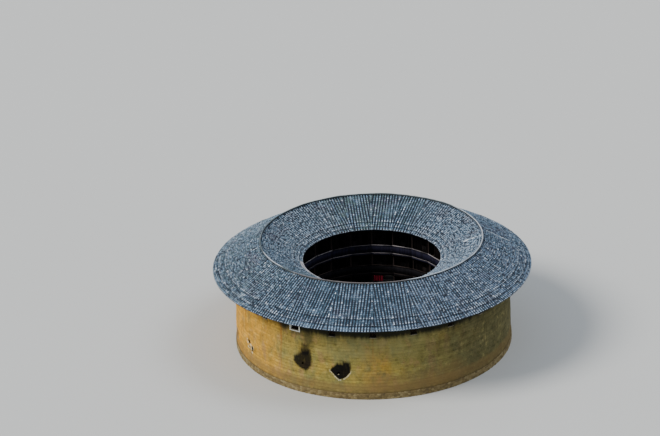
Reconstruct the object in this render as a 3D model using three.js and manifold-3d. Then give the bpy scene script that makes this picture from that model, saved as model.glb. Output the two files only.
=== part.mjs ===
// A tulou roundhouse: a ring-shaped house of three storeys round an open courtyard, with a thick
// rammed-earth outer wall, timber galleries on the courtyard side and a tiled gable roof bent into a ring.
//
// Units are millimetres, +Z is up, and the origin is the centre of the courtyard at ground level.
// Angles start at the front (-Y) and run anticlockwise seen from above. The gate is at the back (+Y).
// A bay is one room's share of the ring. Posts stand, and upper windows sit, on the lines between bays.

import * as THREE from 'three';
import { mergeVertices } from 'three/addons/utils/BufferGeometryUtils.js';
import ManifoldModule from 'manifold-3d';

const wasm = await ManifoldModule();
wasm.setup();

// Driving dimensions
const BAYS = 22;
const FULL_TURN = 2 * Math.PI;
const BAY = FULL_TURN / BAYS;
const ROUND_SIDES = BAYS * 3;
const FACET = FULL_TURN / ROUND_SIDES;
const SEAT_GAP = 0.3;
const HALF_GAP = SEAT_GAP / 2;
const FAR = 40000;
const CUT_MARGIN = 1000;
const MERGE_WITHIN = 0.01;

const FOOTING = { inner: 14450, outer: 15820, outerAtTop: 15780, height: 700 };
const WALL = { inner: 14500, outerAtFooting: 15680, outerAtTop: 15450 };
// Lines between bays where the wall's segments meet, in the middle of an upper window each
const WALL_JOINT_LINES = [1, 4, 5, 7, 9, 12, 14, 16, 17, 19, 21];
const STOREY = { ground: 300, second: 3800, third: 6450 };
const DECK_THICKNESS = 200;
const COURTYARD = { radius: 8400, joint: 1, thickness: 120 };

const ROOF = {
  outerEave: [18000, 9300],
  outerMiddle: [15500, 10560],
  ridge: [12500, 12250],
  innerMiddle: [10150, 11000],
  innerEave: [7780, 9830],
  thickness: 210,
  edgeThickness: 170,
};
const RIDGE_CAP = { halfWidth: 190, halfTopWidth: 110, sideHeight: 120, topHeight: 210 };

const POST_WIDTH = 180;
const BEAM = { width: 140, height: 200 };
const POST_LINE = { ground: 9000, second: 8920, third: 8720 };
const DECK_EDGE = { second: 8800, third: 8600 };
const ROOM_FRONT = { inner: 10050, outer: 10150 };
const ROOM_DOOR = { width: 780, height: 1900, offset: -600 };
const ROOM_WINDOW = { width: 700, height: 800, sill: 1000, offset: 550 };
const HALL_OPENING = { width: 2200, height: 2700 };
const BALUSTRADE = { panel: 40, below: 300, railDepth: 90, railHeight: 80, height: 1050 };

const UPPER_WINDOW = { width: 750, height: 1050, sill: 7250, wideWidth: 1100 };
const WIDE_WINDOW_BAY_LINE = 20;
const LOW_WINDOW = { angle: THREE.MathUtils.degToRad(-70.2), width: 650, height: 1150, sill: 1550 };
const FLUES = [
  { angle: THREE.MathUtils.degToRad(-21.2), height: 3500 },
  { angle: THREE.MathUtils.degToRad(-5.8), height: 3000 },
];
const FLUE_WIDTH = 260;

const GATE = {
  clearWidth: 1700,
  clearHeight: 2600,
  jambWidth: 350,
  lintelHeight: 350,
  surroundBack: 15400,
  surroundFront: 15870,
  passageWidth: 1900,
  passageHeight: 3000,
};
const GATE_LEAF = { width: 850, height: 2640, thickness: 80, sideClearance: 10 };
const GATE_STEP = { depth: 300, height: 150, landing: 16160, lap: 50 };

const OUTRIGGER = { width: 150, height: 200, pocket: 350, tip: 120 };
const PURLIN = { line: 17300, width: 140, lap: 20 };

const LANTERNS = { count: 4, first: -170, pitch: -290, radius: 120, height: 760, pole: 40 };
const LANTERN_SIDES = 8;
// Shares of the lantern's radius and height, from the bottom up
const LANTERN_PROFILE = [[0, 0], [0.5, 0], [0.9, 0.14], [1, 0.35], [1, 0.65], [0.9, 0.86], [0.5, 1], [0, 1]];

// Colours, as seen on the weathered building
const COLOURS = {
  earth: [0xb98f4c, 0.95],
  stone: [0x8d8577, 0.9],
  granite: [0x9a948a, 0.8],
  oldTimber: [0x3a2c22, 0.8],
  paleTimber: [0x8a8072, 0.85],
  tile: [0x3d4853, 0.75],
  mortar: [0x9aa3a4, 0.9],
  paving: [0x6f6a60, 0.9],
  lantern: [0x9c1414, 0.6],
};

// Solids

/** A closed three.js geometry as a solid with its faces pointing out. */
function toSolid(geometry) {
  const bare = geometry.clone();
  bare.deleteAttribute('normal');
  bare.deleteAttribute('uv');
  const merged = mergeVertices(bare, MERGE_WITHIN);
  const position = merged.getAttribute('position').array;
  const triangles = [];
  const corner = (i) => new THREE.Vector3().fromArray(position, 3 * i);
  let volume = 0;
  for (let t = 0; t < merged.index.count; t += 3) {
    const [a, b, c] = [0, 1, 2].map((k) => merged.index.getX(t + k));
    if (a === b || b === c || c === a) continue;
    triangles.push(a, b, c);
    volume += corner(a).dot(corner(b).cross(corner(c)));
  }
  if (volume < 0) triangles.reverse();
  return new wasm.Manifold(
    new wasm.Mesh({
      numProp: 3,
      vertProperties: Float32Array.from(position),
      triVerts: Uint32Array.from(triangles),
    }),
  );
}

/** The three.js geometry of a solid. */
function toGeometry(solid) {
  const mesh = solid.getMesh();
  const geometry = new THREE.BufferGeometry();
  geometry.setAttribute('position', new THREE.BufferAttribute(mesh.vertProperties, 3));
  geometry.setIndex(new THREE.BufferAttribute(mesh.triVerts, 1));
  geometry.computeVertexNormals();
  return geometry;
}

/** An upright block. x, y and z are [low, high], and it is then turned about the courtyard's centre. */
function block(x, y, z, angle = 0) {
  const geometry = new THREE.BoxGeometry(x[1] - x[0], y[1] - y[0], z[1] - z[0]);
  geometry.translate((x[0] + x[1]) / 2, (y[0] + y[1]) / 2, (z[0] + z[1]) / 2);
  geometry.rotateZ(angle);
  return toSolid(geometry);
}

/** A block that faces the front at a distance from the centre: distance is [near, far]. */
function frontBlock(width, distance, z, angle, offset = 0) {
  return block([offset - width / 2, offset + width / 2], [-distance[1], -distance[0]], z, angle);
}

/** A ring with a profile of [radius, height] points and corners on the lines between bays. */
function ring(profile, sides) {
  const points = [...profile, profile[0]].map(([r, z]) => new THREE.Vector2(r, z));
  const geometry = mergeVertices(stripped(new THREE.LatheGeometry(points, sides)), MERGE_WITHIN);
  geometry.rotateX(Math.PI / 2);
  geometry.rotateZ(BAY / 2);
  return toSolid(geometry);
}

/** A ring of rectangular section. */
function plainRing(inner, outer, low, high, sides) {
  return ring([[inner, low], [outer, low], [outer, high], [inner, high]], sides);
}

/** A flat disc or prism with corners on the lines between bays. */
function disc(radius, low, high, sides) {
  const round = new THREE.CylinderGeometry(radius, radius, high - low, sides);
  const geometry = mergeVertices(stripped(round), MERGE_WITHIN);
  geometry.rotateX(Math.PI / 2);
  geometry.rotateZ(BAY / 2);
  geometry.translate(0, 0, (low + high) / 2);
  return toSolid(geometry);
}

function stripped(geometry) {
  geometry.deleteAttribute('normal');
  geometry.deleteAttribute('uv');
  return geometry;
}

/** What lies between two angles, less half a gap at each side. */
function wedge(solid, from, to) {
  const hair = HALF_GAP / WALL.inner;
  const reach = (angle) => [FAR * Math.sin(angle), -FAR * Math.cos(angle)];
  const shape = new THREE.Shape();
  shape.moveTo(0, 0);
  shape.lineTo(...reach(from + hair));
  shape.lineTo(...reach(to - hair));
  shape.closePath();
  const prism = new THREE.ExtrudeGeometry(shape, { depth: FAR, bevelEnabled: false });
  return solid.intersect(toSolid(prism));
}

/** The left (side -1) or right (side 1) half, seen from the front. */
function half(solid, side) {
  const x = side < 0 ? [-FAR, -HALF_GAP] : [HALF_GAP, FAR];
  return solid.intersect(block(x, [-FAR, FAR], [-FAR, FAR]));
}

/** The front (side -1) or back (side 1) half. */
function frontOrBack(solid, side) {
  const y = side < 0 ? [-FAR, -HALF_GAP] : [HALF_GAP, FAR];
  return solid.intersect(block([-FAR, FAR], y, [-FAR, FAR]));
}

/** The sum of several solids. */
function joined(solids) {
  return solids.reduce((sum, solid) => sum.add(solid));
}

/** The angle of the line between two bays, counted from the front. */
const bayLine = (i) => (i + 0.5) * BAY;
const bayIndices = [...Array(BAYS).keys()];

// Roof form

/** Height of the line through two [radius, height] points at a radius. */
function heightOn([r0, z0], [r1, z1], r) {
  return z0 + ((z1 - z0) * (r - r0)) / (r1 - r0);
}

/** Height of the roof's upper surface at a radius. */
function roofTop(r) {
  if (r >= ROOF.outerMiddle[0]) return heightOn(ROOF.outerEave, ROOF.outerMiddle, r);
  if (r >= ROOF.ridge[0]) return heightOn(ROOF.outerMiddle, ROOF.ridge, r);
  if (r >= ROOF.innerMiddle[0]) return heightOn(ROOF.ridge, ROOF.innerMiddle, r);
  return heightOn(ROOF.innerMiddle, ROOF.innerEave, r);
}

/** Height of the roof's underside at a radius between the eaves. */
const roofUnder = (r) => roofTop(r) - ROOF.thickness;

const lowered = ([r, z], by) => [r, z - by];

function outerSlope() {
  const ridge = [ROOF.ridge[0] + HALF_GAP, ROOF.ridge[1]];
  return ring(
    [
      ridge,
      lowered(ridge, ROOF.thickness),
      lowered(ROOF.outerMiddle, ROOF.thickness),
      lowered(ROOF.outerEave, ROOF.edgeThickness),
      ROOF.outerEave,
      ROOF.outerMiddle,
    ],
    ROUND_SIDES,
  );
}

function innerSlope() {
  const ridge = [ROOF.ridge[0] - HALF_GAP, ROOF.ridge[1]];
  return ring(
    [
      ridge,
      ROOF.innerMiddle,
      ROOF.innerEave,
      lowered(ROOF.innerEave, ROOF.edgeThickness),
      lowered(ROOF.innerMiddle, ROOF.thickness),
      lowered(ridge, ROOF.thickness),
    ],
    ROUND_SIDES,
  );
}

function ridgeCap() {
  const [r, z] = ROOF.ridge;
  const { halfWidth, halfTopWidth, sideHeight, topHeight } = RIDGE_CAP;
  const seat = (at) => [at, roofTop(at) + SEAT_GAP];
  return ring(
    [
      seat(r - halfWidth),
      seat(r),
      seat(r + halfWidth),
      [r + halfWidth, roofTop(r + halfWidth) + sideHeight],
      [r + halfTopWidth, z + topHeight],
      [r - halfTopWidth, z + topHeight],
      [r - halfWidth, roofTop(r - halfWidth) + sideHeight],
    ],
    ROUND_SIDES,
  );
}

/** Everything at or above the underside of the roof, to trim what stands below it. */
function aboveRoofUnderside() {
  const low = (point, by) => [point[0], point[1] - by - SEAT_GAP];
  return ring(
    [
      [ROOF.innerEave[0], FAR],
      low(ROOF.innerEave, ROOF.edgeThickness),
      low(ROOF.innerMiddle, ROOF.thickness),
      low(ROOF.ridge, ROOF.thickness),
      low(ROOF.outerMiddle, ROOF.thickness),
      low(ROOF.outerEave, ROOF.edgeThickness),
      [ROOF.outerEave[0], FAR],
    ],
    ROUND_SIDES,
  );
}

// Outer wall, footing and gate

/** The openings cut through the wall: upper windows, one low window and the kitchen flues. */
function wallOpenings() {
  const through = [WALL.inner - CUT_MARGIN, WALL.outerAtFooting + CUT_MARGIN];
  const windows = bayIndices.map((i) => {
    const width = i === WIDE_WINDOW_BAY_LINE ? UPPER_WINDOW.wideWidth : UPPER_WINDOW.width;
    const z = [UPPER_WINDOW.sill, UPPER_WINDOW.sill + UPPER_WINDOW.height];
    return frontBlock(width, through, z, bayLine(i));
  });
  const low = [LOW_WINDOW.sill, LOW_WINDOW.sill + LOW_WINDOW.height];
  const flues = FLUES.map(({ angle, height }) =>
    frontBlock(FLUE_WIDTH, through, [height - FLUE_WIDTH / 2, height + FLUE_WIDTH / 2], angle),
  );
  return joined([...windows, frontBlock(LOW_WINDOW.width, through, low, LOW_WINDOW.angle), ...flues]);
}

/** The room that the gate's stone surround and its passage take in the wall and footing. */
function gateHole() {
  const { clearWidth, clearHeight, jambWidth, lintelHeight } = GATE;
  const outside = frontBlock(
    clearWidth + 2 * jambWidth + 2 * SEAT_GAP,
    [GATE.surroundBack - SEAT_GAP, FAR],
    [-FAR, STOREY.ground + clearHeight + lintelHeight + SEAT_GAP],
    Math.PI,
  );
  const passage = frontBlock(
    GATE.passageWidth,
    [WALL.inner - CUT_MARGIN, GATE.surroundBack],
    [-FAR, GATE.passageHeight],
    Math.PI,
  );
  return outside.add(passage);
}

function outriggerHeights() {
  const top = roofTop(PURLIN.line) - ROOF.thickness - SEAT_GAP - BEAM.height;
  return [top - OUTRIGGER.height, top];
}

/** One beam that carries the eave out from the wall. */
function outrigger(i, growth = 0) {
  const [low, high] = outriggerHeights();
  return frontBlock(
    OUTRIGGER.width + 2 * growth,
    [WALL.outerAtTop - OUTRIGGER.pocket - growth, PURLIN.line + OUTRIGGER.tip],
    [low - growth, high + growth],
    bayLine(i),
  );
}

function earthWall() {
  const foot = FOOTING.height + SEAT_GAP;
  const solid = ring(
    [
      [WALL.inner, foot],
      [WALL.outerAtFooting, foot],
      [WALL.outerAtTop, roofUnder(WALL.outerAtTop) - SEAT_GAP],
      [WALL.inner, roofUnder(WALL.inner) - SEAT_GAP],
    ],
    ROUND_SIDES,
  );
  const pockets = joined(bayIndices.map((i) => outrigger(i, SEAT_GAP)));
  return solid.subtract(wallOpenings()).subtract(gateHole()).subtract(pockets);
}

function stoneFooting() {
  const { inner, outer, outerAtTop, height } = FOOTING;
  const profile = [[inner, 0], [outer, 0], [outerAtTop, height], [inner, height]];
  return ring(profile, ROUND_SIDES).subtract(gateHole());
}

/** Two granite jambs and a lintel round the gateway. */
function gateSurround() {
  const { clearWidth, clearHeight, jambWidth, lintelHeight, surroundBack, surroundFront } = GATE;
  const depth = [surroundBack, surroundFront];
  const top = STOREY.ground + clearHeight;
  const whole = frontBlock(clearWidth + 2 * jambWidth, depth, [0, top + lintelHeight], Math.PI);
  return whole.subtract(frontBlock(clearWidth, [surroundBack - CUT_MARGIN, FAR], [-FAR, top], Math.PI));
}

/** The threshold: a step, the sill between the jambs and the passage floor behind them. */
function gateSill() {
  const between = GATE.clearWidth - 2 * SEAT_GAP;
  const passageFoot = FOOTING.inner * Math.cos(FACET / 2);
  return joined([
    frontBlock(between, [GATE.surroundBack - GATE_STEP.lap, GATE_STEP.landing], [0, STOREY.ground], Math.PI),
    frontBlock(
      between,
      [GATE_STEP.landing - GATE_STEP.lap, GATE_STEP.landing + GATE_STEP.depth],
      [0, GATE_STEP.height],
      Math.PI,
    ),
    frontBlock(
      GATE.passageWidth - 2 * SEAT_GAP,
      [passageFoot, GATE.surroundBack - SEAT_GAP],
      [0, STOREY.ground],
      Math.PI,
    ),
  ]);
}

/** One plank leaf of the gate, standing open along the passage. */
function gateLeaf(side) {
  const { width, height, thickness, sideClearance } = GATE_LEAF;
  const middle = GATE.passageWidth / 2 - sideClearance - thickness / 2;
  const back = GATE.surroundBack - SEAT_GAP;
  const z = [STOREY.ground + SEAT_GAP, STOREY.ground + SEAT_GAP + height];
  return frontBlock(thickness, [back - width, back], z, Math.PI, -side * middle);
}

// Floors, posts, balustrades and room fronts

function deck(top, edge) {
  const plank = plainRing(edge - CUT_MARGIN, WALL.inner - SEAT_GAP, top - DECK_THICKNESS, top, ROUND_SIDES);
  return plank.subtract(disc(edge, top - 2 * DECK_THICKNESS, top + DECK_THICKNESS, BAYS));
}

function groundFloor() {
  const { radius } = COURTYARD;
  const slab = plainRing(radius - CUT_MARGIN, FOOTING.inner - SEAT_GAP, 0, STOREY.ground, ROUND_SIDES);
  return slab.subtract(disc(radius, -FAR / 2, FAR / 2, BAYS));
}

/** Posts with the ring of straight beams that they carry. */
function colonnade(line, foot, top, trim = null) {
  const reach = trim ? FAR / 2 : top - SEAT_GAP;
  const beamLow = top - BEAM.height;
  const beam = plainRing(line - BEAM.width / 2, line + BEAM.width / 2, beamLow, reach, BAYS);
  const depth = [line - POST_WIDTH / 2, line + POST_WIDTH / 2];
  const z = [foot + SEAT_GAP, beamLow + BEAM.height / 2];
  const posts = bayIndices.map((i) => frontBlock(POST_WIDTH, depth, z, bayLine(i)));
  const solid = joined([beam, ...posts]);
  return trim ? solid.subtract(trim) : solid;
}

/** A ring of boarded panels that hide the deck's edge, under a rail against the posts. */
function balustrade(floor, edge, postLine) {
  const { panel, below, railDepth, railHeight, height } = BALUSTRADE;
  const railTop = floor + height;
  const outer = edge - SEAT_GAP;
  const boards = plainRing(outer - panel, outer, floor - below, railTop - railHeight / 2, BAYS);
  const railOuter = postLine - POST_WIDTH / 2 - SEAT_GAP;
  const rail = plainRing(railOuter - railDepth, railOuter, railTop - railHeight, railTop, BAYS);
  return boards.add(rail);
}

/** The plank wall between the gallery and the rooms on one storey, with its doors and windows. */
function roomFront(floor, top, gateHall, trim = null) {
  const { inner, outer } = ROOM_FRONT;
  const foot = floor + SEAT_GAP;
  const wall = plainRing(inner, outer, foot, trim ? FAR / 2 : top - SEAT_GAP, BAYS);
  const through = [inner - CUT_MARGIN, outer + CUT_MARGIN];
  const holes = bayIndices.flatMap((i) => {
    const angle = i * BAY;
    if (gateHall && i === BAYS / 2) {
      return [frontBlock(HALL_OPENING.width, through, [-FAR, floor + HALL_OPENING.height], angle)];
    }
    const doorway = [floor - CUT_MARGIN, floor + ROOM_DOOR.height];
    const sill = floor + ROOM_WINDOW.sill;
    return [
      frontBlock(ROOM_DOOR.width, through, doorway, angle, ROOM_DOOR.offset),
      frontBlock(ROOM_WINDOW.width, through, [sill, sill + ROOM_WINDOW.height], angle, ROOM_WINDOW.offset),
    ];
  });
  const solid = wall.subtract(joined(holes));
  return trim ? solid.subtract(trim) : solid;
}

/** The beams that carry the outer eave, with the straight purlins on their ends. */
function eaveFrame() {
  const [, seat] = outriggerHeights();
  const { line, width, lap } = PURLIN;
  const purlin = plainRing(line - width / 2, line + width / 2, seat - lap, FAR / 2, BAYS);
  const trimmed = purlin.subtract(aboveRoofUnderside());
  return joined([trimmed, ...bayIndices.map((i) => outrigger(i))]);
}

/** A row of lanterns on a pole under the beam of the gate's bay. */
function lanternRow() {
  const { count, first, pitch, radius, height, pole } = LANTERNS;
  const beamUnder = STOREY.second - DECK_THICKNESS - BEAM.height;
  const away = POST_LINE.ground * Math.cos(BAY / 2);
  const top = beamUnder - SEAT_GAP;
  const last = first + pitch * (count - 1);
  const rod = block([last - radius, first + radius], [away - pole / 2, away + pole / 2], [top - pole, top]);
  const lanterns = [...Array(count).keys()].map((i) => {
    const profile = LANTERN_PROFILE.map(([r, z]) => new THREE.Vector2(r * radius, z * height));
    const geometry = mergeVertices(stripped(new THREE.LatheGeometry(profile, LANTERN_SIDES)), MERGE_WITHIN);
    geometry.rotateX(Math.PI / 2);
    geometry.translate(first + pitch * i, away, top - pole / 2 - height);
    return toSolid(geometry);
  });
  return joined([rod, ...lanterns]);
}

// Assembly

const building = new THREE.Group();

function place(name, solid, [colour, roughness]) {
  const material = new THREE.MeshStandardMaterial({ color: colour, roughness, metalness: 0 });
  const mesh = new THREE.Mesh(toGeometry(solid), material);
  mesh.name = name;
  building.add(mesh);
}

const SIDES = [['left', -1], ['right', 1]];
const ENDS = [['front', -1], ['back', 1]];
const roofTrim = aboveRoofUnderside();

const wholeWall = earthWall();
// The segments also meet in the middle of the gate, the low window and the right flue hole
const wallJoints = [
  ...WALL_JOINT_LINES.map(bayLine),
  Math.PI,
  FULL_TURN + LOW_WINDOW.angle,
  FULL_TURN + FLUES[1].angle,
].sort((a, b) => a - b);
wallJoints.forEach((from, i) => {
  const to = wallJoints[i + 1] ?? wallJoints[0] + FULL_TURN;
  place(`earth_wall_${i + 1}`, wedge(wholeWall, from, to), COLOURS.earth);
});

const wholeFooting = stoneFooting();
const wholeOuterSlope = outerSlope();
for (const [side, x] of SIDES) {
  place(`stone_footing_${side}`, half(wholeFooting, x), COLOURS.stone);
  for (const [end, y] of ENDS) {
    place(`outer_roof_${end}_${side}`, half(frontOrBack(wholeOuterSlope, y), x), COLOURS.tile);
  }
}

place('gate_surround', gateSurround(), COLOURS.granite);
place('gate_sill', gateSill(), COLOURS.granite);
place('gate_leaf_left', gateLeaf(-1), COLOURS.oldTimber);
place('gate_leaf_right', gateLeaf(1), COLOURS.oldTimber);

const paving = disc(COURTYARD.radius - COURTYARD.joint, 0, COURTYARD.thickness, BAYS);
place('courtyard_paving', paving, COLOURS.paving);
place('ground_floor', groundFloor(), COLOURS.stone);
place('second_floor', deck(STOREY.second, DECK_EDGE.second), COLOURS.oldTimber);
place('third_floor', deck(STOREY.third, DECK_EDGE.third), COLOURS.oldTimber);

const secondUnder = STOREY.second - DECK_THICKNESS;
const thirdUnder = STOREY.third - DECK_THICKNESS;
const purlinTop = roofUnder(POST_LINE.third - BEAM.width);
place('ground_posts', colonnade(POST_LINE.ground, STOREY.ground, secondUnder), COLOURS.oldTimber);
place('second_floor_posts', colonnade(POST_LINE.second, STOREY.second, thirdUnder), COLOURS.oldTimber);
place('third_floor_posts', colonnade(POST_LINE.third, STOREY.third, purlinTop, roofTrim), COLOURS.oldTimber);

const secondRail = balustrade(STOREY.second, DECK_EDGE.second, POST_LINE.second);
const thirdRail = balustrade(STOREY.third, DECK_EDGE.third, POST_LINE.third);
place('second_floor_balustrade', secondRail, COLOURS.paleTimber);
place('third_floor_balustrade', thirdRail, COLOURS.paleTimber);

const roomFronts = [
  ['ground', roomFront(STOREY.ground, secondUnder, true)],
  ['second_floor', roomFront(STOREY.second, thirdUnder, false)],
  ['third_floor', roomFront(STOREY.third, 0, false, roofTrim)],
];
for (const [storey, solid] of roomFronts) {
  for (const [side, x] of SIDES) {
    place(`${storey}_room_front_${side}`, half(solid, x), COLOURS.oldTimber);
  }
}

const wholeInnerSlope = innerSlope();
const wholeEaveFrame = eaveFrame();
for (const [side, x] of SIDES) {
  place(`inner_roof_${side}`, half(wholeInnerSlope, x), COLOURS.tile);
  place(`eave_frame_${side}`, half(wholeEaveFrame, x), COLOURS.oldTimber);
}
place('ridge_cap', ridgeCap(), COLOURS.mortar);
place('lantern_row', lanternRow(), COLOURS.lantern);

export default building;
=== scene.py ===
"""The looks of a tulou roundhouse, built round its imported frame.

Lengths are in metres and +Z is up. Angles start at the front (-Y) and run anticlockwise seen from above.
A bay is one room's share of the ring. Posts and upper windows stand on the lines between bays.
"""

import logging
import math
from collections.abc import Callable
from dataclasses import dataclass, field
from enum import Enum
from functools import reduce
from math import radians

import bmesh
import bpy
import numpy as np
from mathutils import Matrix


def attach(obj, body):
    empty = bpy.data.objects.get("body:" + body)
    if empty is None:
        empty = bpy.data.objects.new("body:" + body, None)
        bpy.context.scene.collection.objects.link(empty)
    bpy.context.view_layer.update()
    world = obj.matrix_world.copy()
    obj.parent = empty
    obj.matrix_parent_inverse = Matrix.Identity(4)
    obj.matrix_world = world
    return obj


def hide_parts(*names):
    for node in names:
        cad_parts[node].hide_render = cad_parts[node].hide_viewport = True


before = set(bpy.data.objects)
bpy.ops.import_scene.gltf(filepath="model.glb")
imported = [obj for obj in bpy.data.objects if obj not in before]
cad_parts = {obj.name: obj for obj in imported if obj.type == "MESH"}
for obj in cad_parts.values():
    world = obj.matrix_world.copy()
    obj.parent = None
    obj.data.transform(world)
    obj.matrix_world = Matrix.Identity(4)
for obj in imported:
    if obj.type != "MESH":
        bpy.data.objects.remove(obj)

Array = np.ndarray
Rgb = tuple[float, float, float]
Span = tuple[float, float]
Material = bpy.types.Material

LOG = logging.getLogger("roundhouse")
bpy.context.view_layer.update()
BODY = "root"
TURN = 2 * math.pi


@dataclass(frozen=True)
class House:
    """The sizes that every sub-assembly is worked out from, in metres."""

    bays: int = 22
    eave_radius: float = 17.97
    inner_eave_radius: float = 7.79
    ridge_radius: float = 12.5
    roof_radii: tuple[float, ...] = (7.78, 10.15, 12.5, 15.5, 18.0)
    roof_heights: tuple[float, ...] = (9.83, 11.0, 12.25, 10.56, 9.3)
    footing_height: float = 0.7
    wall_top: float = 10.36
    wall_outer_foot: float = 15.68
    wall_outer_top: float = 15.45
    wall_inner: float = 14.5
    wall_face: float = 15.6
    floors: tuple[float, float, float] = (0.3, 3.8, 6.45)
    deck_thickness: float = 0.2
    deck_edges: Span = (8.8, 8.6)
    post_lines: tuple[float, float, float] = (9.0, 8.92, 8.72)
    room_front: float = 10.1

    @property
    def bay(self) -> float:
        """The angle of one bay, in radians."""
        return TURN / self.bays

    def bay_line(self, index: Array | float) -> Array | float:
        """The angle of the line after bay number index."""
        return (index + 0.5) * self.bay

    def all_lines(self) -> Array:
        """The angles of all the lines between bays."""
        return self.bay_line(np.arange(self.bays))

    def roof(self, radius: Array | float) -> Array:
        """Height of the tiled surface at a radius."""
        return np.interp(radius, self.roof_radii, self.roof_heights)

    def wall_outer(self, height: Array | float) -> Array:
        """Radius of the battered outer face at a height."""
        heights = (self.footing_height, self.wall_top)
        return np.interp(height, heights, (self.wall_outer_foot, self.wall_outer_top))

    def deck_under(self, storey: int) -> float:
        """Height of the underside of the deck over a storey."""
        return self.floors[storey + 1] - self.deck_thickness


HOUSE = House()


def wrapped(angle: Array | float) -> Array | float:
    """An angle brought to within half a turn of the front."""
    return (angle + math.pi) % TURN - math.pi


# Shader maths


def maths(operation: str, swapped: bool = False) -> Callable[..., "Sock"]:
    """Makes a method of Sock.

    Args:
        operation: the Math node's operation.
        swapped: whether the method's own socket comes last.

    Returns:
        A method that adds a Math node with its own socket and any others as inputs.
    """

    def method(self: "Sock", *others: "Sock | float") -> "Sock":
        """The Math node's result."""
        inputs = (self, *others)[::-1 if swapped else 1]
        return self.tree.out("ShaderNodeMath", {"operation": operation}, dict(enumerate(inputs)))

    return method


class Sock:
    """A node's output socket, with arithmetic that adds Math nodes to its tree."""

    def __init__(self, tree: "Tree", link: bpy.types.NodeSocket) -> None:
        """Keeps the tree and the socket."""
        self.tree, self.link = tree, link

    __add__ = __radd__ = maths("ADD")
    __mul__ = __rmul__ = maths("MULTIPLY")
    __sub__, __rsub__ = maths("SUBTRACT"), maths("SUBTRACT", True)
    __truediv__, __pow__, __abs__ = maths("DIVIDE"), maths("POWER"), maths("ABSOLUTE")
    floor, fract, least, most = maths("FLOOR"), maths("FRACT"), maths("MINIMUM"), maths("MAXIMUM")
    bearing = maths("ARCTAN2")

    def __neg__(self) -> "Sock":
        """Negative."""
        return self * -1.0

    def rise(self, low: float, high: float) -> "Sock":
        """0 up to low, 1 from high on and a smooth step between; low above high turns it round."""
        if low > high:
            return 1 - self.rise(high, low)
        inputs = {"Value": self, "From Min": low, "From Max": high}
        return self.tree.out("ShaderNodeMapRange", {"interpolation_type": "SMOOTHSTEP"}, inputs)

    def band(self, middle: float, half: float, soft: float) -> "Sock":
        """1 within half of middle, falling smoothly to 0 over soft."""
        return abs(self - middle).rise(half + soft, half)

    def sweep(self, low: float, high: float) -> "Sock":
        """The rise of an angle, with both ends given in degrees."""
        return self.rise(radians(low), radians(high))

    def sector(self, middle: float, half: float, soft: float) -> "Sock":
        """The band of an angle, with middle, half and soft given in degrees."""
        return self.band(radians(middle), radians(half), radians(soft))

    def near_whole(self, half: float, soft: float) -> "Sock":
        """1 within half of any whole number, falling smoothly to 0 over soft."""
        part = self.fract()
        return part.band(0.0, half, soft).most(part.band(1.0, half, soft))


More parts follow.
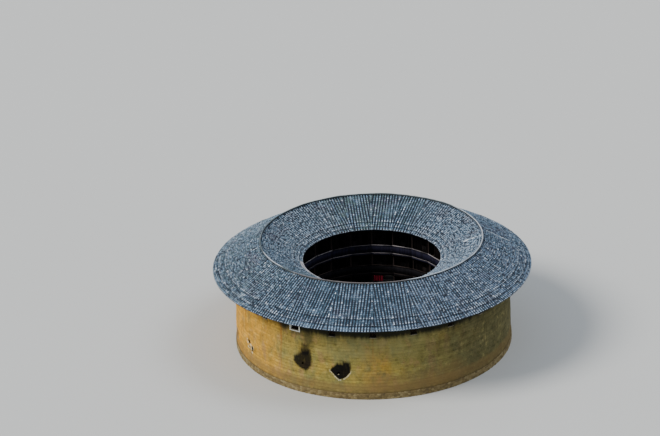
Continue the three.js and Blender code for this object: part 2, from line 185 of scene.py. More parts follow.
class Tree:
    """One material and its nodes."""

    def __init__(self, name: str) -> None:
        """Starts a material with a Principled shader joined to its output.

        Args:
            name: the material's name.
        """
        self.material = bpy.data.materials.new(name)
        self.material.use_nodes = True
        self.nodes = self.material.node_tree.nodes
        self.nodes.clear()
        self.shader = self.node("ShaderNodeBsdfPrincipled", {}, {})
        self.node("ShaderNodeOutputMaterial", {}, {"Surface": Sock(self, self.shader.outputs["BSDF"])})
        self.place = self.out("ShaderNodeTexCoord", {}, {}, "Object")

    def node(self, kind: str, settings: dict, inputs: dict) -> bpy.types.Node:
        """Adds a node.

        Args:
            kind: the node's type.
            settings: its properties, set first; "stops" holds a ramp's positions and colours.
            inputs: values or Socks by the input's name or number.

        Returns:
            The new node.
        """
        made = self.nodes.new(kind)
        for key, value in settings.items():
            if key == "stops":
                self._set_stops(made.color_ramp, value)
            else:
                setattr(made, key, value)
        self.feed(made, inputs)
        return made

    def feed(self, node: bpy.types.Node, inputs: dict) -> None:
        """Links or sets a node's inputs.

        Args:
            node: the node.
            inputs: values or Socks by the input's name or number.
        """
        for key, value in inputs.items():
            if isinstance(value, Sock):
                self.material.node_tree.links.new(value.link, node.inputs[key])
            else:
                node.inputs[key].default_value = value

    @staticmethod
    def _set_stops(ramp: bpy.types.ColorRamp, stops: list[tuple[float, Rgb]]) -> None:
        """Gives a ramp its stops."""
        while len(ramp.elements) < len(stops):
            ramp.elements.new(1.0)
        for element, (position, colour) in zip(ramp.elements, stops, strict=True):
            element.position = position
            element.color = (*colour, 1.0)

    def out(self, kind: str, settings: dict, inputs: dict, output: int | str = 0) -> Sock:
        """Adds a node and returns one of its outputs."""
        return Sock(self, self.node(kind, settings, inputs).outputs[output])

    def joined(self, x: Sock | float, y: Sock | float, z: Sock | float) -> Sock:
        """A vector of three numbers."""
        return self.out("ShaderNodeCombineXYZ", {}, {0: x, 1: y, 2: z})

    def vector(self, operation: str, vector: Sock, other: Rgb) -> Sock:
        """A vector added to or multiplied by three numbers."""
        return self.out("ShaderNodeVectorMath", {"operation": operation}, {0: vector, 1: other})

    def attribute(self, name: str) -> Sock:
        """A number that the piece's mesh carries at its points."""
        return self.out("ShaderNodeAttribute", {"attribute_name": name}, {}, "Fac")

    def noise(
        self, scale: float, detail: float = 4.0, rough: float = 0.55, at: Sock | Rgb | None = None
    ) -> Sock:
        """Cloudy noise from 0 to 1.

        Args:
            scale: how many cells there are to a metre.
            detail: how many finer layers it has.
            rough: how strong those are.
            at: the vector it reads, or three numbers that the Object coordinates are multiplied by.

        Returns:
            The noise.
        """
        if isinstance(at, tuple):
            at = self.vector("MULTIPLY", self.place, at)
        inputs = {"Vector": at or self.place, "Scale": scale, "Detail": detail, "Roughness": rough}
        return self.out("ShaderNodeTexNoise", {}, inputs)

    def chance(self, *numbers: Sock | float) -> Sock:
        """A random number from 0 to 1 for each three numbers."""
        inputs = {"Vector": self.joined(*numbers)}
        return self.out("ShaderNodeTexWhiteNoise", {"noise_dimensions": "3D"}, inputs)

    def mix(self, factor: Sock | float, a: Sock | Rgb, b: Sock | Rgb, mode: str = "MIX") -> Sock:
        """Colour a towards colour b by factor."""
        a, b = (v if isinstance(v, Sock) else (*v, 1.0) for v in (a, b))
        settings = {"data_type": "RGBA", "blend_type": mode}
        return self.out("ShaderNodeMix", settings, {0: factor, 6: a, 7: b}, 2)

    def layered(self, base: Sock | Rgb, *layers: tuple[Sock | float, Sock | Rgb]) -> Sock:
        """A base colour with others laid over it in order, each by its own factor."""
        return reduce(lambda colour, layer: self.mix(layer[0], colour, layer[1]), layers, base)

    def ramp(self, factor: Sock, stops: list[tuple[float, Rgb]]) -> Sock:
        """A colour read off a ramp."""
        return self.out("ShaderNodeValToRGB", {"stops": stops}, {0: factor})

    def ring(self) -> tuple[Sock, Sock, Sock]:
        """The angle from the front, the radius and the height of each point."""
        node = self.node("ShaderNodeSeparateXYZ", {}, {0: self.place})
        x, y, z = (Sock(self, socket) for socket in node.outputs)
        return x.bearing(-y), (x * x + y * y) ** 0.5, z

    def finish(
        self,
        colour: Sock,
        roughness: Sock | float,
        relief: Sock | float = 0.0,
        depth: float = 0.0,
        specular: float = 0.5,
    ) -> Material:
        """Feeds the shader and returns the material.

        Args:
            colour: the base colour.
            roughness: the roughness, varying or constant.
            relief: the height that bumps the surface.
            depth: how many metres a relief of 1 stands for.
            specular: how strongly the surface mirrors; dry earth and old timber mirror little.

        Returns:
            The finished material.
        """
        inputs = {"Base Color": colour, "Roughness": roughness, "Specular IOR Level": specular}
        if isinstance(relief, Sock):
            height = {"Height": relief, "Distance": depth, "Strength": 1.0}
            inputs["Normal"] = self.out("ShaderNodeBump", {}, height)
        self.feed(self.shader, inputs)
        return self.material


# Finishes


Outline = tuple[tuple[float, float], ...]


@dataclass(frozen=True)
class SootMark:
    """Kitchen smoke round a flue hole: convex outlines joined into one mark, crisp below and blurred above.

    The angle is in degrees. Corners are (distance along the wall from it, height), anticlockwise.
    """

    angle: float
    outlines: tuple[Outline, ...]
    crisp: float
    blur: float
    strength: float = 0.985
    rim: float = 0.0

    @property
    def reach(self) -> Span:
        """The mark's lowest and highest point."""
        heights = [z for outline in self.outlines for _, z in outline]
        return min(heights), max(heights)


SOOT_MARKS = (
    SootMark(
        -5.5,
        (
            ((-0.06, 2.23), (0.34, 2.50), (0.62, 3.30), (0.55, 4.00), (0.22, 4.20), (-0.25, 4.14),
             (-0.72, 3.74), (-1.04, 3.22), (-0.42, 2.57)),
            ((-0.06, 2.23), (0.38, 2.33), (0.80, 2.66), (1.14, 3.10), (1.28, 3.60), (1.28, 4.36),
             (0.45, 4.38), (0.10, 3.80), (-0.25, 2.60)),
        ),
        0.06, 0.32, rim=0.72,
    ),
    SootMark(
        -20.0,
        (
            ((0.02, 2.55), (0.47, 3.01), (0.80, 3.60), (0.82, 4.40), (0.62, 5.25), (-0.50, 5.15),
             (-0.80, 4.13), (-0.71, 2.98)),
            ((-0.20, 2.70), (-0.20, 5.10), (-0.75, 4.80), (-1.48, 4.10), (-1.53, 3.62), (-1.16, 3.08)),
        ),
        0.22, 0.50, 0.95,
    ),
    SootMark(-20.0, (((0.64, 4.50), (0.52, 6.05), (-0.42, 5.90), (-0.60, 4.50)),), 0.30, 0.50, 0.78),
)


@dataclass(frozen=True)
class Streak:
    """A run of colour down the wall: its angle in degrees, the heights it fades between, and its strength."""

    angle: float
    heights: Span
    strength: float


@dataclass(frozen=True)
class RammedEarth:
    """Rammed earth: ochre lifts with soot, damp and a painted shadow under the eave, streaks and a browner
    foot.
    """

    lift: float = 0.38
    block: float = 1.9
    ochre: Rgb = (0.294, 0.241, 0.062)
    # Lighter orange: partly painted light on the left side.
    orange: Rgb = (0.70, 0.340, 0.034)
    # Darker olive: partly painted shade on the right side.
    olive: Rgb = (0.112, 0.103, 0.045)
    dun: Rgb = (0.225, 0.190, 0.100)
    pale: Rgb = (0.52, 0.42, 0.155)
    gold: Rgb = (0.45, 0.285, 0.045)
    khaki: Rgb = (0.185, 0.182, 0.075)
    rose: Rgb = (0.36, 0.205, 0.095)
    # Damp stains; also the band under the eave, which is partly painted shade.
    damp: Rgb = (0.055, 0.052, 0.024)
    # Near-black: the painted shadow of the eave, right under it.
    eave_shadow: Rgb = (0.012, 0.013, 0.008)
    rust: Rgb = (0.24, 0.075, 0.016)
    soot: Rgb = (0.0016, 0.0016, 0.0026)
    rim: Rgb = (0.74, 0.66, 0.44)
    foot: Rgb = (0.225, 0.145, 0.055)
    glow: Rgb = (0.50, 0.250, 0.040)
    straw: Rgb = (0.285, 0.268, 0.105)
    streaks: tuple[Streak, ...] = (
        Streak(-31.4, (4.2, 6.0), 0.52),
        Streak(-31.9, (1.6, 3.2), 0.25),
        Streak(8.1, (4.0, 5.8), 0.45),
        Streak(-57.0, (3.0, 5.0), 0.40),
        Streak(128.0, (3.6, 5.6), 0.60),
        Streak(-142.0, (4.0, 6.2), 0.60),
    )

    @staticmethod
    def soot_depth(mark: SootMark, arc: Sock, height: Sock) -> Sock:
        """How far each point lies inside a mark: its outlines' largest least distance to a side.

        Args:
            mark: the mark's outline.
            arc: distance along the wall from the front.
            height: height of each point.

        Returns:
            The depth in metres, negative outside.
        """
        across = arc - radians(mark.angle) * HOUSE.wall_face
        depths = []
        for outline in mark.outlines:
            sides = []
            for (x0, z0), (x1, z1) in zip(outline, (*outline[1:], outline[0]), strict=True):
                run, rise = x1 - x0, z1 - z0
                size = math.hypot(run, rise)
                sides.append(height * (run / size) - across * (rise / size) + (x0 * rise - z0 * run) / size)
            depths.append(reduce(Sock.least, sides))
        return reduce(Sock.most, depths)

    def sooted(self, tree: Tree, colour: Sock, arc: Sock, height: Sock, fray: Sock, runs: Sock) -> Sock:
        """The wall with its smoke: black in each outline, whose top frays upward, and a pale lower rim.

        Args:
            tree: the material's nodes.
            colour: the wall without smoke.
            arc: distance along the wall from the front.
            height: height of each point.
            fray: noise about 0 that frays the outlines.
            runs: upright noise from 0 to 1 that breaks up the black.

        Returns:
            The smoked wall's colour.
        """
        broken = (fray * 0.5 + runs).rise(0.30, 0.55)
        for mark in SOOT_MARKS:
            low, high = mark.reach
            up = height.rise(low + 0.35 * (high - low), high)
            soft = up * (mark.blur - mark.crisp) + mark.crisp
            ragged = fray * (mark.crisp * 0.9 + 0.06) + (runs - 0.5) * (up * 0.65 + mark.crisp)
            depth = self.soot_depth(mark, arc, height) + ragged
            rim = depth.band(-0.055, 0.035, 0.05) * height.rise(low + 1.3, low + 0.7) * broken
            flecks = runs.rise(0.56, 0.70) * mark.crisp * 0.9
            black = (depth / soft).rise(-0.7, 0.9) * (1 - flecks) * mark.strength
            colour = tree.layered(colour, (rim * mark.rim, self.rim), (black, self.soot))
        return colour

    def body(self, tree: Tree, angle: Sock, shade: Sock) -> Sock:
        """The earth's colour: orange left, olive right, ochre between, in clouds; partly painted light and
        shade.

        Args:
            tree: the material's nodes.
            angle: angle of each point from the front.
            shade: what the colour is multiplied by.

        Returns:
            The colour.
        """
        tall = tree.vector("MULTIPLY", tree.place, (1.0, 1.0, 0.55))
        elsewhere = tree.vector("ADD", tall, (31.0, 17.0, 5.0))
        cloud = tree.noise(0.30, 5.0)
        mottle = tree.noise(1.6, 6.0, 0.62)
        # Painted light and shade: the left side is made orange and lighter and the right side olive and
        # darker, both mixed with real cloudy tint.
        left = angle.sweep(-12, -70) * 0.80 + angle.sweep(-30.5, -32.5) * 0.20
        left = left * angle.sweep(-176, -118)
        right = angle.sweep(6, 58) * angle.sweep(160, 105)
        behind = angle.sweep(70, 115).most(angle.sweep(-105, -140))
        warmth_and_light = (left * 0.95 + (cloud - 0.5) * 0.9).most(0.0).least(1.0)
        green = tree.noise(0.62, 4.0, 0.6, tall).rise(0.48, 0.64) * (1 - left * 0.7)
        colour = tree.layered(
            self.ochre,
            (warmth_and_light, self.orange),
            (green * 0.70, self.khaki),
            (tree.noise(0.50, 4.0, 0.6, elsewhere).rise(0.52, 0.66) * 0.50, self.gold),
            (tree.noise(0.95, 3.0, 0.6, elsewhere).rise(0.53, 0.66) * 0.50, self.rose),
            ((right + (cloud - 0.55) * 0.7).most(0.0).least(0.95), self.olive),
            (mottle.rise(0.52, 0.76) * 0.36, self.pale),
            (behind * 0.50, self.dun),
        )
        return tree.mix(1.0, colour, tree.joined(shade, shade, shade), "MULTIPLY")

    def wetness(self, angle: Sock, arc: Sock, height: Sock, curtain: Sock, runs: Sock) -> tuple[Sock, Sock]:
        """Damp that runs down the wall from the eave and the windows, and the eave's shadow painted under the
        eave.

        Args:
            angle: angle of each point from the front.
            arc: distance along the wall from the front.
            height: height of each point.
            curtain: broad upright noise from 0 to 1.
            runs: narrow upright noise from 0 to 1.

        Returns:
            How damp the wall is, partly as painted shade under the eave, and the painted shadow right under
            the eave.
        """
        # Painted shade: away from the key light, the top of the wall is darkened, first by a damp band that
        # is partly painted shade, then near-black as the painted shadow of the eave.
        shaded = 1 - angle.sweep(-29, -37) * angle.sweep(-150, -105) * 0.88
        hung = height + (runs - 0.5) * 0.7
        stained = (hung + (curtain - 0.5) * 2.0).rise(6.60, 7.60) * shaded * 0.56
        eave_shadow = (hung + (curtain - 0.5)).rise(6.95, 7.62) * shaded * 0.95
        drips = curtain.rise(0.48, 0.66) * runs.rise(0.44, 0.62) * height.rise(3.4, 7.2) * 0.46
        from_window = abs((angle / HOUSE.bay).fract() - 0.5) * HOUSE.bay * HOUSE.wall_face
        below = from_window.band(0.28, 0.22, 0.14) * runs.rise(0.38, 0.52) * height.rise(6.1, 7.1)
        below = below * height.rise(7.5, 7.2) * 0.50
        over_flue = arc.band(radians(-18.4) * HOUSE.wall_face, 0.30, 0.5) * height.rise(5.3, 6.6)
        over_flue = over_flue * curtain.rise(0.3, 0.5) * 0.7
        return stained.most(drips).most(over_flue).most(below), eave_shadow

    def material(self) -> Material:
        """Builds the material."""
        tree = Tree("rammed_earth")
        angle, _, height = tree.ring()
        arc = angle * HOUSE.wall_face
        mottle = tree.noise(2.4, 6.0, 0.65)
        grain = tree.noise(24.0, 4.0, 0.6)
        pocks = tree.noise(6.5, 3.0, 0.6)
        patches = tree.noise(0.85, 5.0, 0.7)
        layers = tree.noise(1.0, 5.0, 0.65, (0.45, 0.45, 8.0))
        curtain = tree.noise(1.0, 5.0, 0.65, (1.1, 1.1, 0.13))
        runs = tree.noise(1.0, 4.0, 0.65, (3.6, 3.6, 0.18))
        smoke = tree.noise(1.0, 4.0, 0.7, (5.5, 5.5, 0.7))
        level = (height + tree.noise(0.8, 3.0, at=(0.25, 0.25, 1.0)) * 0.14) / self.lift
        lift = level.floor()
        step = (arc / self.block + tree.chance(lift, 0.0, 7.0) * 5.0).floor()
        block_tone = tree.chance(lift, step, 1.0)
        part = level.fract()
        joint = part.band(0.0, 0.03, 0.10).most(part.band(1.0, 0.02, 0.06))
        tone = (tree.chance(lift, 3.0, 0.0) - 0.5) * 0.22 + (block_tone - 0.5) * 0.16 + (layers - 0.5) * 0.75
        shade = tone + (grain - 0.5) * 0.55 + (mottle - 0.5) * 1.10 + (patches - 0.5) * 1.10
        colour = self.body(tree, angle, shade + (pocks - 0.5) * 0.75 + 0.94)
        damp, eave_shadow = self.wetness(angle, arc, height, curtain, runs)
        # The damp includes painted shade in the band under the eave.
        colour = tree.layered(colour, (joint * mottle.rise(0.35, 0.6) * 0.42, self.foot), (damp, self.damp))
        for streak in self.streaks:
            line = (arc + (mottle - 0.5) * 0.25).band(radians(streak.angle) * HOUSE.wall_face, 0.02, 0.16)
            colour = tree.mix(line * height.rise(*streak.heights) * streak.strength, colour, self.rust)
        dried = angle.sector(9, 13, 15) * height.rise(3.8, 5.6) * height.rise(7.5, 7.1)
        glow = angle.sector(9.5, 1.0, 7) * height.band(3.4, 1.2, 2.0)
        foot = (height + (mottle - 0.5) * 0.5 + (patches - 0.5) * 0.9).rise(2.10, 1.60)
        ruddy = angle.sector(26, 16, 9) * (height + (patches - 0.5) * 2.4).rise(3.6, 2.2)
        splash = (height + (mottle - 0.5) * 0.9).rise(1.15, 0.60)
        scar = tree.attribute("scar")
        colour = tree.layered(
            colour,
            (dried * patches.rise(0.25, 0.60) * 0.50, self.straw),
            (glow * patches.rise(0.32, 0.60) * 0.42, self.glow),
            (foot * 0.55, self.foot),
            (ruddy * 0.45, self.foot),
            (splash * 0.40, self.damp),
            # the painted shadow of the eave
            (eave_shadow, self.eave_shadow),
            (scar.rise(0.20, 0.55) * mottle.rise(0.42, 0.58) * 0.75, self.rim),
            # the middle of each broken hollow is painted near-black in the soot colour
            (scar.rise(0.66, 0.84), self.soot),
        )
        colour = self.sooted(tree, colour, arc, height, (mottle - 0.5) * 2.0 + (grain - 0.5) * 1.6, smoke)
        relief = layers * 0.45 + mottle * 0.6 + grain * 0.3 - joint * 0.5 + block_tone * 0.25
        return tree.finish(colour, 0.94, relief, 0.04, 0.12)


@dataclass(frozen=True)
class LimeRun:
    """Lime run down the roof: its angle in degrees at a radius, its turn in degrees a metre, its reach."""

    angle: float
    radius: float
    turn: float
    reach: Span
    strength: float


@dataclass(frozen=True)
class RoofTile:
    """Small grey clay tiles: blue-grey covers with pale crowns, painted shade and highlights, and odd stains.
    """

    dark: Rgb = (0.004, 0.010, 0.024)
    slate: Rgb = (0.036, 0.088, 0.142)
    pale: Rgb = (0.205, 0.342, 0.505)
    chalk: Rgb = (0.75, 0.83, 0.93)
    plum: Rgb = (0.115, 0.085, 0.130)
    violet: Rgb = (0.125, 0.190, 0.310)
    moss: Rgb = (0.095, 0.165, 0.150)
    lime: Rgb = (0.66, 0.72, 0.78)
    mortar: Rgb = (0.64, 0.61, 0.62)
    lime_runs: tuple[LimeRun, ...] = (
        LimeRun(101.67, 10.47, -2.0, (10.35, 11.6), 0.95),
        LimeRun(99.0, 11.8, -2.0, (11.65, 12.45), 0.55),
        LimeRun(106.2, 14.5, 0.0, (13.1, 15.9), 0.65),
    )

    def material(self) -> Material:
        """Builds the material."""
        tree = Tree("roof_tile")
        angle, radius, _ = tree.ring()
        # Of these marks, cut carries painted shade beside the seam covers.
        marks = ("tone", "crown", "lip", "eave", "rim", "shade", "cut")
        tone, crown, lip, eave, rim, shade, cut = (tree.attribute(name) for name in marks)

        def each_tile(along: float, up: float, shift: float, low: float, high: float) -> Sock:
            """Noise about a tile wide and long, cut off softly between two levels."""
            spot = tree.joined(angle * along, radius * up, shift)
            return tree.noise(1.0, 2.0, 0.55, spot).rise(low, high)

        lost = each_tile(27.0, 4.3, 8.0, 0.545, 0.605)
        glint = each_tile(27.0, 4.3, 19.0, 0.61, 0.68)
        speckle = each_tile(30.0, 4.8, 0.0, 0.42, 0.58)
        cloud = tree.noise(0.40, 5.0, 0.6)
        blotch = tree.noise(1.5, 5.0, 0.68)
        grain = tree.noise(30.0, 3.0, 0.6)
        litter = tree.noise(0.75, 4.0, 0.6, (1.0, 1.0, 1.4))
        spots = tree.noise(2.9, 4.0, 0.7)
        slipped = tree.noise(2.5, 2.0, 0.5).rise(0.60, 0.67)
        dots = tree.noise(2.3, 2.0, 0.5).rise(0.45, 0.55)
        inner = radius.rise(12.55, 12.35)
        aside = abs(angle).sector(90, 52, 26)
        # Painted light: the inner slope's left and right sides are made lighter, in the weathering mix and in
        # pale specks.
        sides = inner * (angle.sector(98, 40, 25) * 0.74 + angle.sector(-95, 35, 25) * 0.58)
        patchy = (blotch - 0.5) * 1.35 + (spots - 0.5) * (aside * 1.1 + 1.7) + (speckle - 0.50) * aside * 4.0
        # This mix is weathering with the painted light of the inner sides added.
        weather = (tone - 0.4) * 1.05 + cloud * 0.45 + patchy + eave * 0.40 + inner * 0.12 + sides - 0.01
        plum = cloud.rise(0.52, 0.64) * blotch.rise(0.38, 0.60) * (1 - eave * 0.6)
        violet = angle.sweep(2, 30) * angle.sweep(120, 80) * (1 - inner) * litter.rise(0.38, 0.58)
        moss = blotch.rise(0.62, 0.40) * (inner * 0.40 + angle.sweep(-20, -60) * 0.36 + 0.10)
        fresh = tone.rise(0.90, 0.94) * lip.rise(0.15, 0.6)
        # Each tile's lower lip is paler: partly edge wear, partly a painted highlight.
        edge = lip.rise(0.70, 1.0) * (grain * 0.5 + tone * 0.8 + eave * 0.25).rise(0.35, 0.9)
        filled = litter.rise(0.50, 0.66)
        # Painted shade: each tile's upper end, under the next tile's lip, and the channels between covers are
        # darkened.
        tucked_shade = lip.rise(0.34, 0.02) * (0.72 - filled * 0.25)
        channel = crown.rise(0.72, 0.18) * (0.99 - filled * 0.40)
        # Paler covers' lips at the extra layers' edges: partly wear, partly a painted highlight.
        rim_wear_and_highlight = rim * crown.rise(0.45, 0.85) * (tone * 0.6 + grain).rise(0.50, 0.85) * dots
        mortar = radius.rise(8.24, 8.08) * angle.sector(-56, 15, 6) * spots.rise(0.30, 0.46)
        runs = []
        for run in self.lime_runs:
            low, high = run.reach
            across = (angle - radians(run.angle) - (radius - run.radius) * radians(run.turn)) * radius
            line = (across + (spots - 0.5) * 0.12).band(0.0, 0.055, 0.08)
            line = line * radius.band((low + high) / 2, (high - low) / 2 - 0.1, 0.15)
            runs.append((line * spots.rise(0.32, 0.50) * run.strength, self.lime))
        colour = tree.layered(
            self.slate,
            (weather.rise(0.0, 1.0), self.pale),
            (plum * 0.60, self.plum),
            (violet * 0.55, self.violet),
            (moss * (1 - sides * 1.2), self.moss),
            # paler lips, partly a painted highlight
            (fresh * 0.85, self.chalk),
            (edge * 0.70, self.chalk),
            # painted shade in the channels and under the lips
            (tucked_shade.most(channel), self.dark),
            # paler lips at the layers' edges, partly a painted highlight
            (rim_wear_and_highlight * 0.90, self.chalk),
            (shade * (1 - dots * 0.8) * 0.92, self.dark),
            # painted shade beside the seam covers
            (cut * 0.72, self.dark),
            (slipped * (aside * 0.40 + 0.15) * (1 - rim), self.dark),
            # pale specks, most on the inner sides as painted light
            (speckle.rise(0.40, 1.0) * (sides * 0.20 + aside * 0.04), self.lime),
            (lost * aside * 0.92, self.dark),
            (glint * aside * (1 - lost) * (crown * 0.6 + 0.4) * 0.66, self.chalk),
            *runs,
            (mortar * 0.92, self.mortar),
        )
        return tree.finish(colour, grain * 0.3 + 0.58, grain + blotch * 0.6, 0.006)


class Grain(Enum):
    """The way that timber runs."""

    UPRIGHT = (1.0, 1.0, 0.06)
    ROUND = (0.10, 0.10, 1.0)


@dataclass(frozen=True)
class Timber:
    """Old timber: dark or bleached, with grain, checks and a hand-worn tone to each board."""

    name: str
    deep: Rgb
    light: Rgb
    grain: Grain = Grain.UPRIGHT

    def material(self) -> Material:
        """Builds the material."""
        tree = Tree(self.name)
        fibres = tree.noise(22.0, 5.0, 0.65, self.grain.value)
        checks = tree.noise(60.0, 2.0, 0.7, self.grain.value)
        shade = tree.attribute("tone") * 0.55 + fibres * 0.55 + tree.noise(1.3) * 0.45 - 0.35
        colour = tree.ramp(shade, [(0.1, self.deep), (0.85, self.light)])
        colour = tree.mix(checks.rise(0.60, 0.72) * 0.6, colour, tuple(0.4 * c for c in self.deep))
        return tree.finish(colour, 0.78, fibres - checks.rise(0.6, 0.7) * 0.6, 0.006, 0.15)


@dataclass(frozen=True)
class RoughStone:
    """Stone whose pieces differ by the tone that the mesh carries, with grit, lichen and dirt.

    Where it isn't marked, noise gives the tone. Inside the radius trodden it is near-black: trodden earth
    with painted shade.
    """

    name: str
    low: Rgb
    middle: Rgb
    high: Rgb
    dirt: Rgb
    grit: float = 30.0
    marked: bool = True
    trodden: float | None = None
    soil_and_shade: Rgb = (0.007, 0.006, 0.005)
    specular: float = 0.5

    def material(self) -> Material:
        """Builds the material."""
        tree = Tree(self.name)
        tone = tree.attribute("tone") if self.marked else tree.noise(0.5, 3.0)
        height = tree.attribute("crown") if self.marked else tree.noise(2.2, 3.0)
        speck = tree.noise(self.grit, 4.0, 0.7)
        blotch = tree.noise(5.0, 5.0, 0.65)
        stops = [(0.1, self.low), (0.5, self.middle), (0.9, self.high)]
        colour = tree.layered(
            tree.ramp(tone * 0.75 + speck * 0.3 + tree.noise(1.1) * 0.3 - 0.2, stops),
            (blotch.rise(0.55, 0.75) * 0.45, self.dirt),
            (height.rise(0.45, 0.05) * 0.85, self.dirt),
        )
        if self.trodden is not None:
            _, radius, _ = tree.ring()
            # Painted shade: near-black inside the trodden radius, for the earth in the gate passage and its
            # shade.
            colour = tree.mix(radius.rise(self.trodden + 0.25, self.trodden) * 0.97, colour, self.soil_and_shade)
        return tree.finish(colour, blotch * 0.25 + 0.72, speck + blotch * 0.8, 0.012, self.specular)


@dataclass(frozen=True)
class Cobbles:
    """Worn cobbles in rings that match the courtyard's mesh: a tone for each stone, with dark joints."""

    ring_width: float
    deep: Rgb = (0.060, 0.056, 0.048)
    light: Rgb = (0.230, 0.215, 0.185)
    joint: Rgb = (0.022, 0.020, 0.014)
    moss: Rgb = (0.050, 0.062, 0.026)

    def material(self) -> Material:
        """Builds the material."""
        tree = Tree("courtyard_cobbles")
        angle, radius, _ = tree.ring()
        ring = radius / self.ring_width
        index = ring.floor()
        count = ((index + 0.5) * 6).most(8.0).floor()
        along = angle / TURN * count + (index * 0.5).fract()
        grit = tree.noise(34.0, 4.0, 0.7)
        worn = tree.noise(1.1, 5.0, 0.65)
        tone = tree.chance(index, along.floor(), 5.0)
        shade = tone * 0.34 + (grit - 0.5) * 0.7 + (worn - 0.5) * 1.7 + 0.28
        gap = abs(along.fract() - 0.5).most(abs(ring.fract() - 0.5)) + (grit - 0.5) * 0.10
        gap = gap.rise(0.38, 0.47)
        colour = tree.layered(
            self.deep,
            (shade.rise(0.0, 1.0), self.light),
            (gap * 0.9, self.joint),
            (gap * worn.rise(0.50, 0.64) * 0.8, self.moss),
        )
        return tree.finish(colour, 0.8, grit * 0.5 - gap, 0.02, 0.3)


@dataclass(frozen=True)
class FloorBoards:
    """Worn boards that run round the gallery: a tone for each board, dark joints and long grain."""

    board: float = 0.21
    deep: Rgb = (0.010, 0.007, 0.005)
    light: Rgb = (0.060, 0.042, 0.030)

    def material(self) -> Material:
        """Builds the material."""
        tree = Tree("floor_boards")
        angle, radius, _ = tree.ring()
        row = radius / self.board
        length = (angle * 2.4 + tree.chance(row.floor(), 0.0, 1.0) * 3.0).floor()
        tone = tree.chance(row.floor(), length, 2.0)
        joint = row.near_whole(0.03, 0.03)
        grain = tree.noise(1.0, 4.0, 0.7, tree.joined(angle * 3.0, radius * 40.0, 0.0))
        shade = tone * 0.5 + grain * 0.5 + tree.noise(1.4) * 0.4 - 0.25
        worn = tree.mix(shade.rise(0.0, 1.0), self.deep, self.light)
        colour = tree.mix(joint * 0.9, worn, tuple(0.3 * c for c in self.deep))
        return tree.finish(colour, 0.75, grain * 0.4 - joint, 0.008)


@dataclass(frozen=True)
class GroundFloor:
    """Trodden dark earth with a kerb of long granite blocks along the courtyard."""

    kerb_radius: float = 8.75
    block: float = 1.1
    earth: Rgb = (0.045, 0.034, 0.022)
    dust: Rgb = (0.105, 0.082, 0.055)
    granite: Rgb = (0.20, 0.19, 0.17)
    joint: Rgb = (0.030, 0.026, 0.020)

    def material(self) -> Material:
        """Builds the material."""
        tree = Tree("ground_floor")
        angle, radius, _ = tree.ring()
        worn = tree.noise(0.9, 5.0, 0.65)
        grit = tree.noise(26.0, 4.0, 0.7)
        part = angle * self.kerb_radius / self.block
        tone = tree.chance(part.floor(), 0.0, 4.0)
        stone = tree.layered(
            self.granite,
            ((tone + grit - 0.5).rise(0.0, 1.0) * 0.6, self.dust),
            (part.near_whole(0.010, 0.012), self.joint),
        )
        trodden = (worn + (grit - 0.5) * 0.4).rise(0.35, 0.70)
        kerb = radius.rise(self.kerb_radius + 0.01, self.kerb_radius - 0.01)
        colour = tree.layered(self.earth, (trodden, self.dust), (kerb, stone))
        return tree.finish(colour, 0.88, grit + worn, 0.012)


@dataclass(frozen=True)
class Lime:
    """Weathered lime mortar or wash: off-white with grey rain stains and chipped dark spots."""

    name: str
    clean: Rgb
    stained: Rgb
    worn: float = 0.5

    def material(self) -> Material:
        """Builds the material."""
        tree = Tree(self.name)
        cloud = tree.noise(0.9, 5.0, 0.6)
        spots = tree.noise(9.0, 5.0, 0.7)
        stain = (cloud + spots * 0.5).rise(0.95 - self.worn * 0.4, 0.62 - self.worn * 0.4)
        chip = tuple(0.35 * c for c in self.stained)
        colour = tree.layered(self.clean, (stain, self.stained), (spots.rise(0.62, 0.74) * 0.6, chip))
        return tree.finish(colour, 0.9, spots + cloud, 0.012)


@dataclass(frozen=True)
class RidgeLime:
    """The ridge's lime: painted highlight on the left and right, duller and darker elsewhere, painted shade
    on its flanks.
    """

    clean: Rgb = (0.56, 0.60, 0.66)
    # The ridge's colour away from the painted highlight.
    damp: Rgb = (0.090, 0.120, 0.132)
    brown: Rgb = (0.215, 0.160, 0.150)
    # Dark: chipped spots, and painted shade on the flanks below the crest.
    side: Rgb = (0.020, 0.028, 0.034)

    def material(self) -> Material:
        """Builds the material."""
        tree = Tree("ridge_lime")
        angle, _, _ = tree.ring()
        cloud = tree.noise(0.55, 4.0, 0.6)
        spots = tree.noise(3.2, 5.0, 0.75)
        # Painted highlight: the ridge is made paler on the left and on the right.
        ridge_highlight = angle.sector(-53, 9, 5) + angle.sector(82, 48, 14)
        bright = ridge_highlight * 0.62 + (cloud - 0.5) * 1.4 + (spots - 0.5) + 0.10
        colour = tree.layered(
            self.damp,
            (bright.rise(0.0, 1.0), self.clean),
            (angle.sector(-4, 26, 8) * 0.65, self.brown),
            (spots.rise(0.50, 0.62) * (0.80 - ridge_highlight * 0.55), self.side),
            # painted shade on the flanks below the crest
            (tree.attribute("crest").rise(0.85, 0.45), self.side),
        )
        return tree.finish(colour, 0.9, spots + cloud, 0.01)


@dataclass(frozen=True)
class LanternCloth:
    """Red cloth stretched over ribs, faded a little by weather."""

    red: Rgb = (0.36, 0.010, 0.036)
    faded: Rgb = (0.22, 0.014, 0.038)

    def material(self) -> Material:
        """Builds the material."""
        tree = Tree("lantern_cloth")
        colour = tree.mix(tree.noise(6.0).rise(0.45, 0.7) * 0.6, self.red, self.faded)
        return tree.finish(colour, 0.6, tree.noise(220.0, 2.0), 0.001)


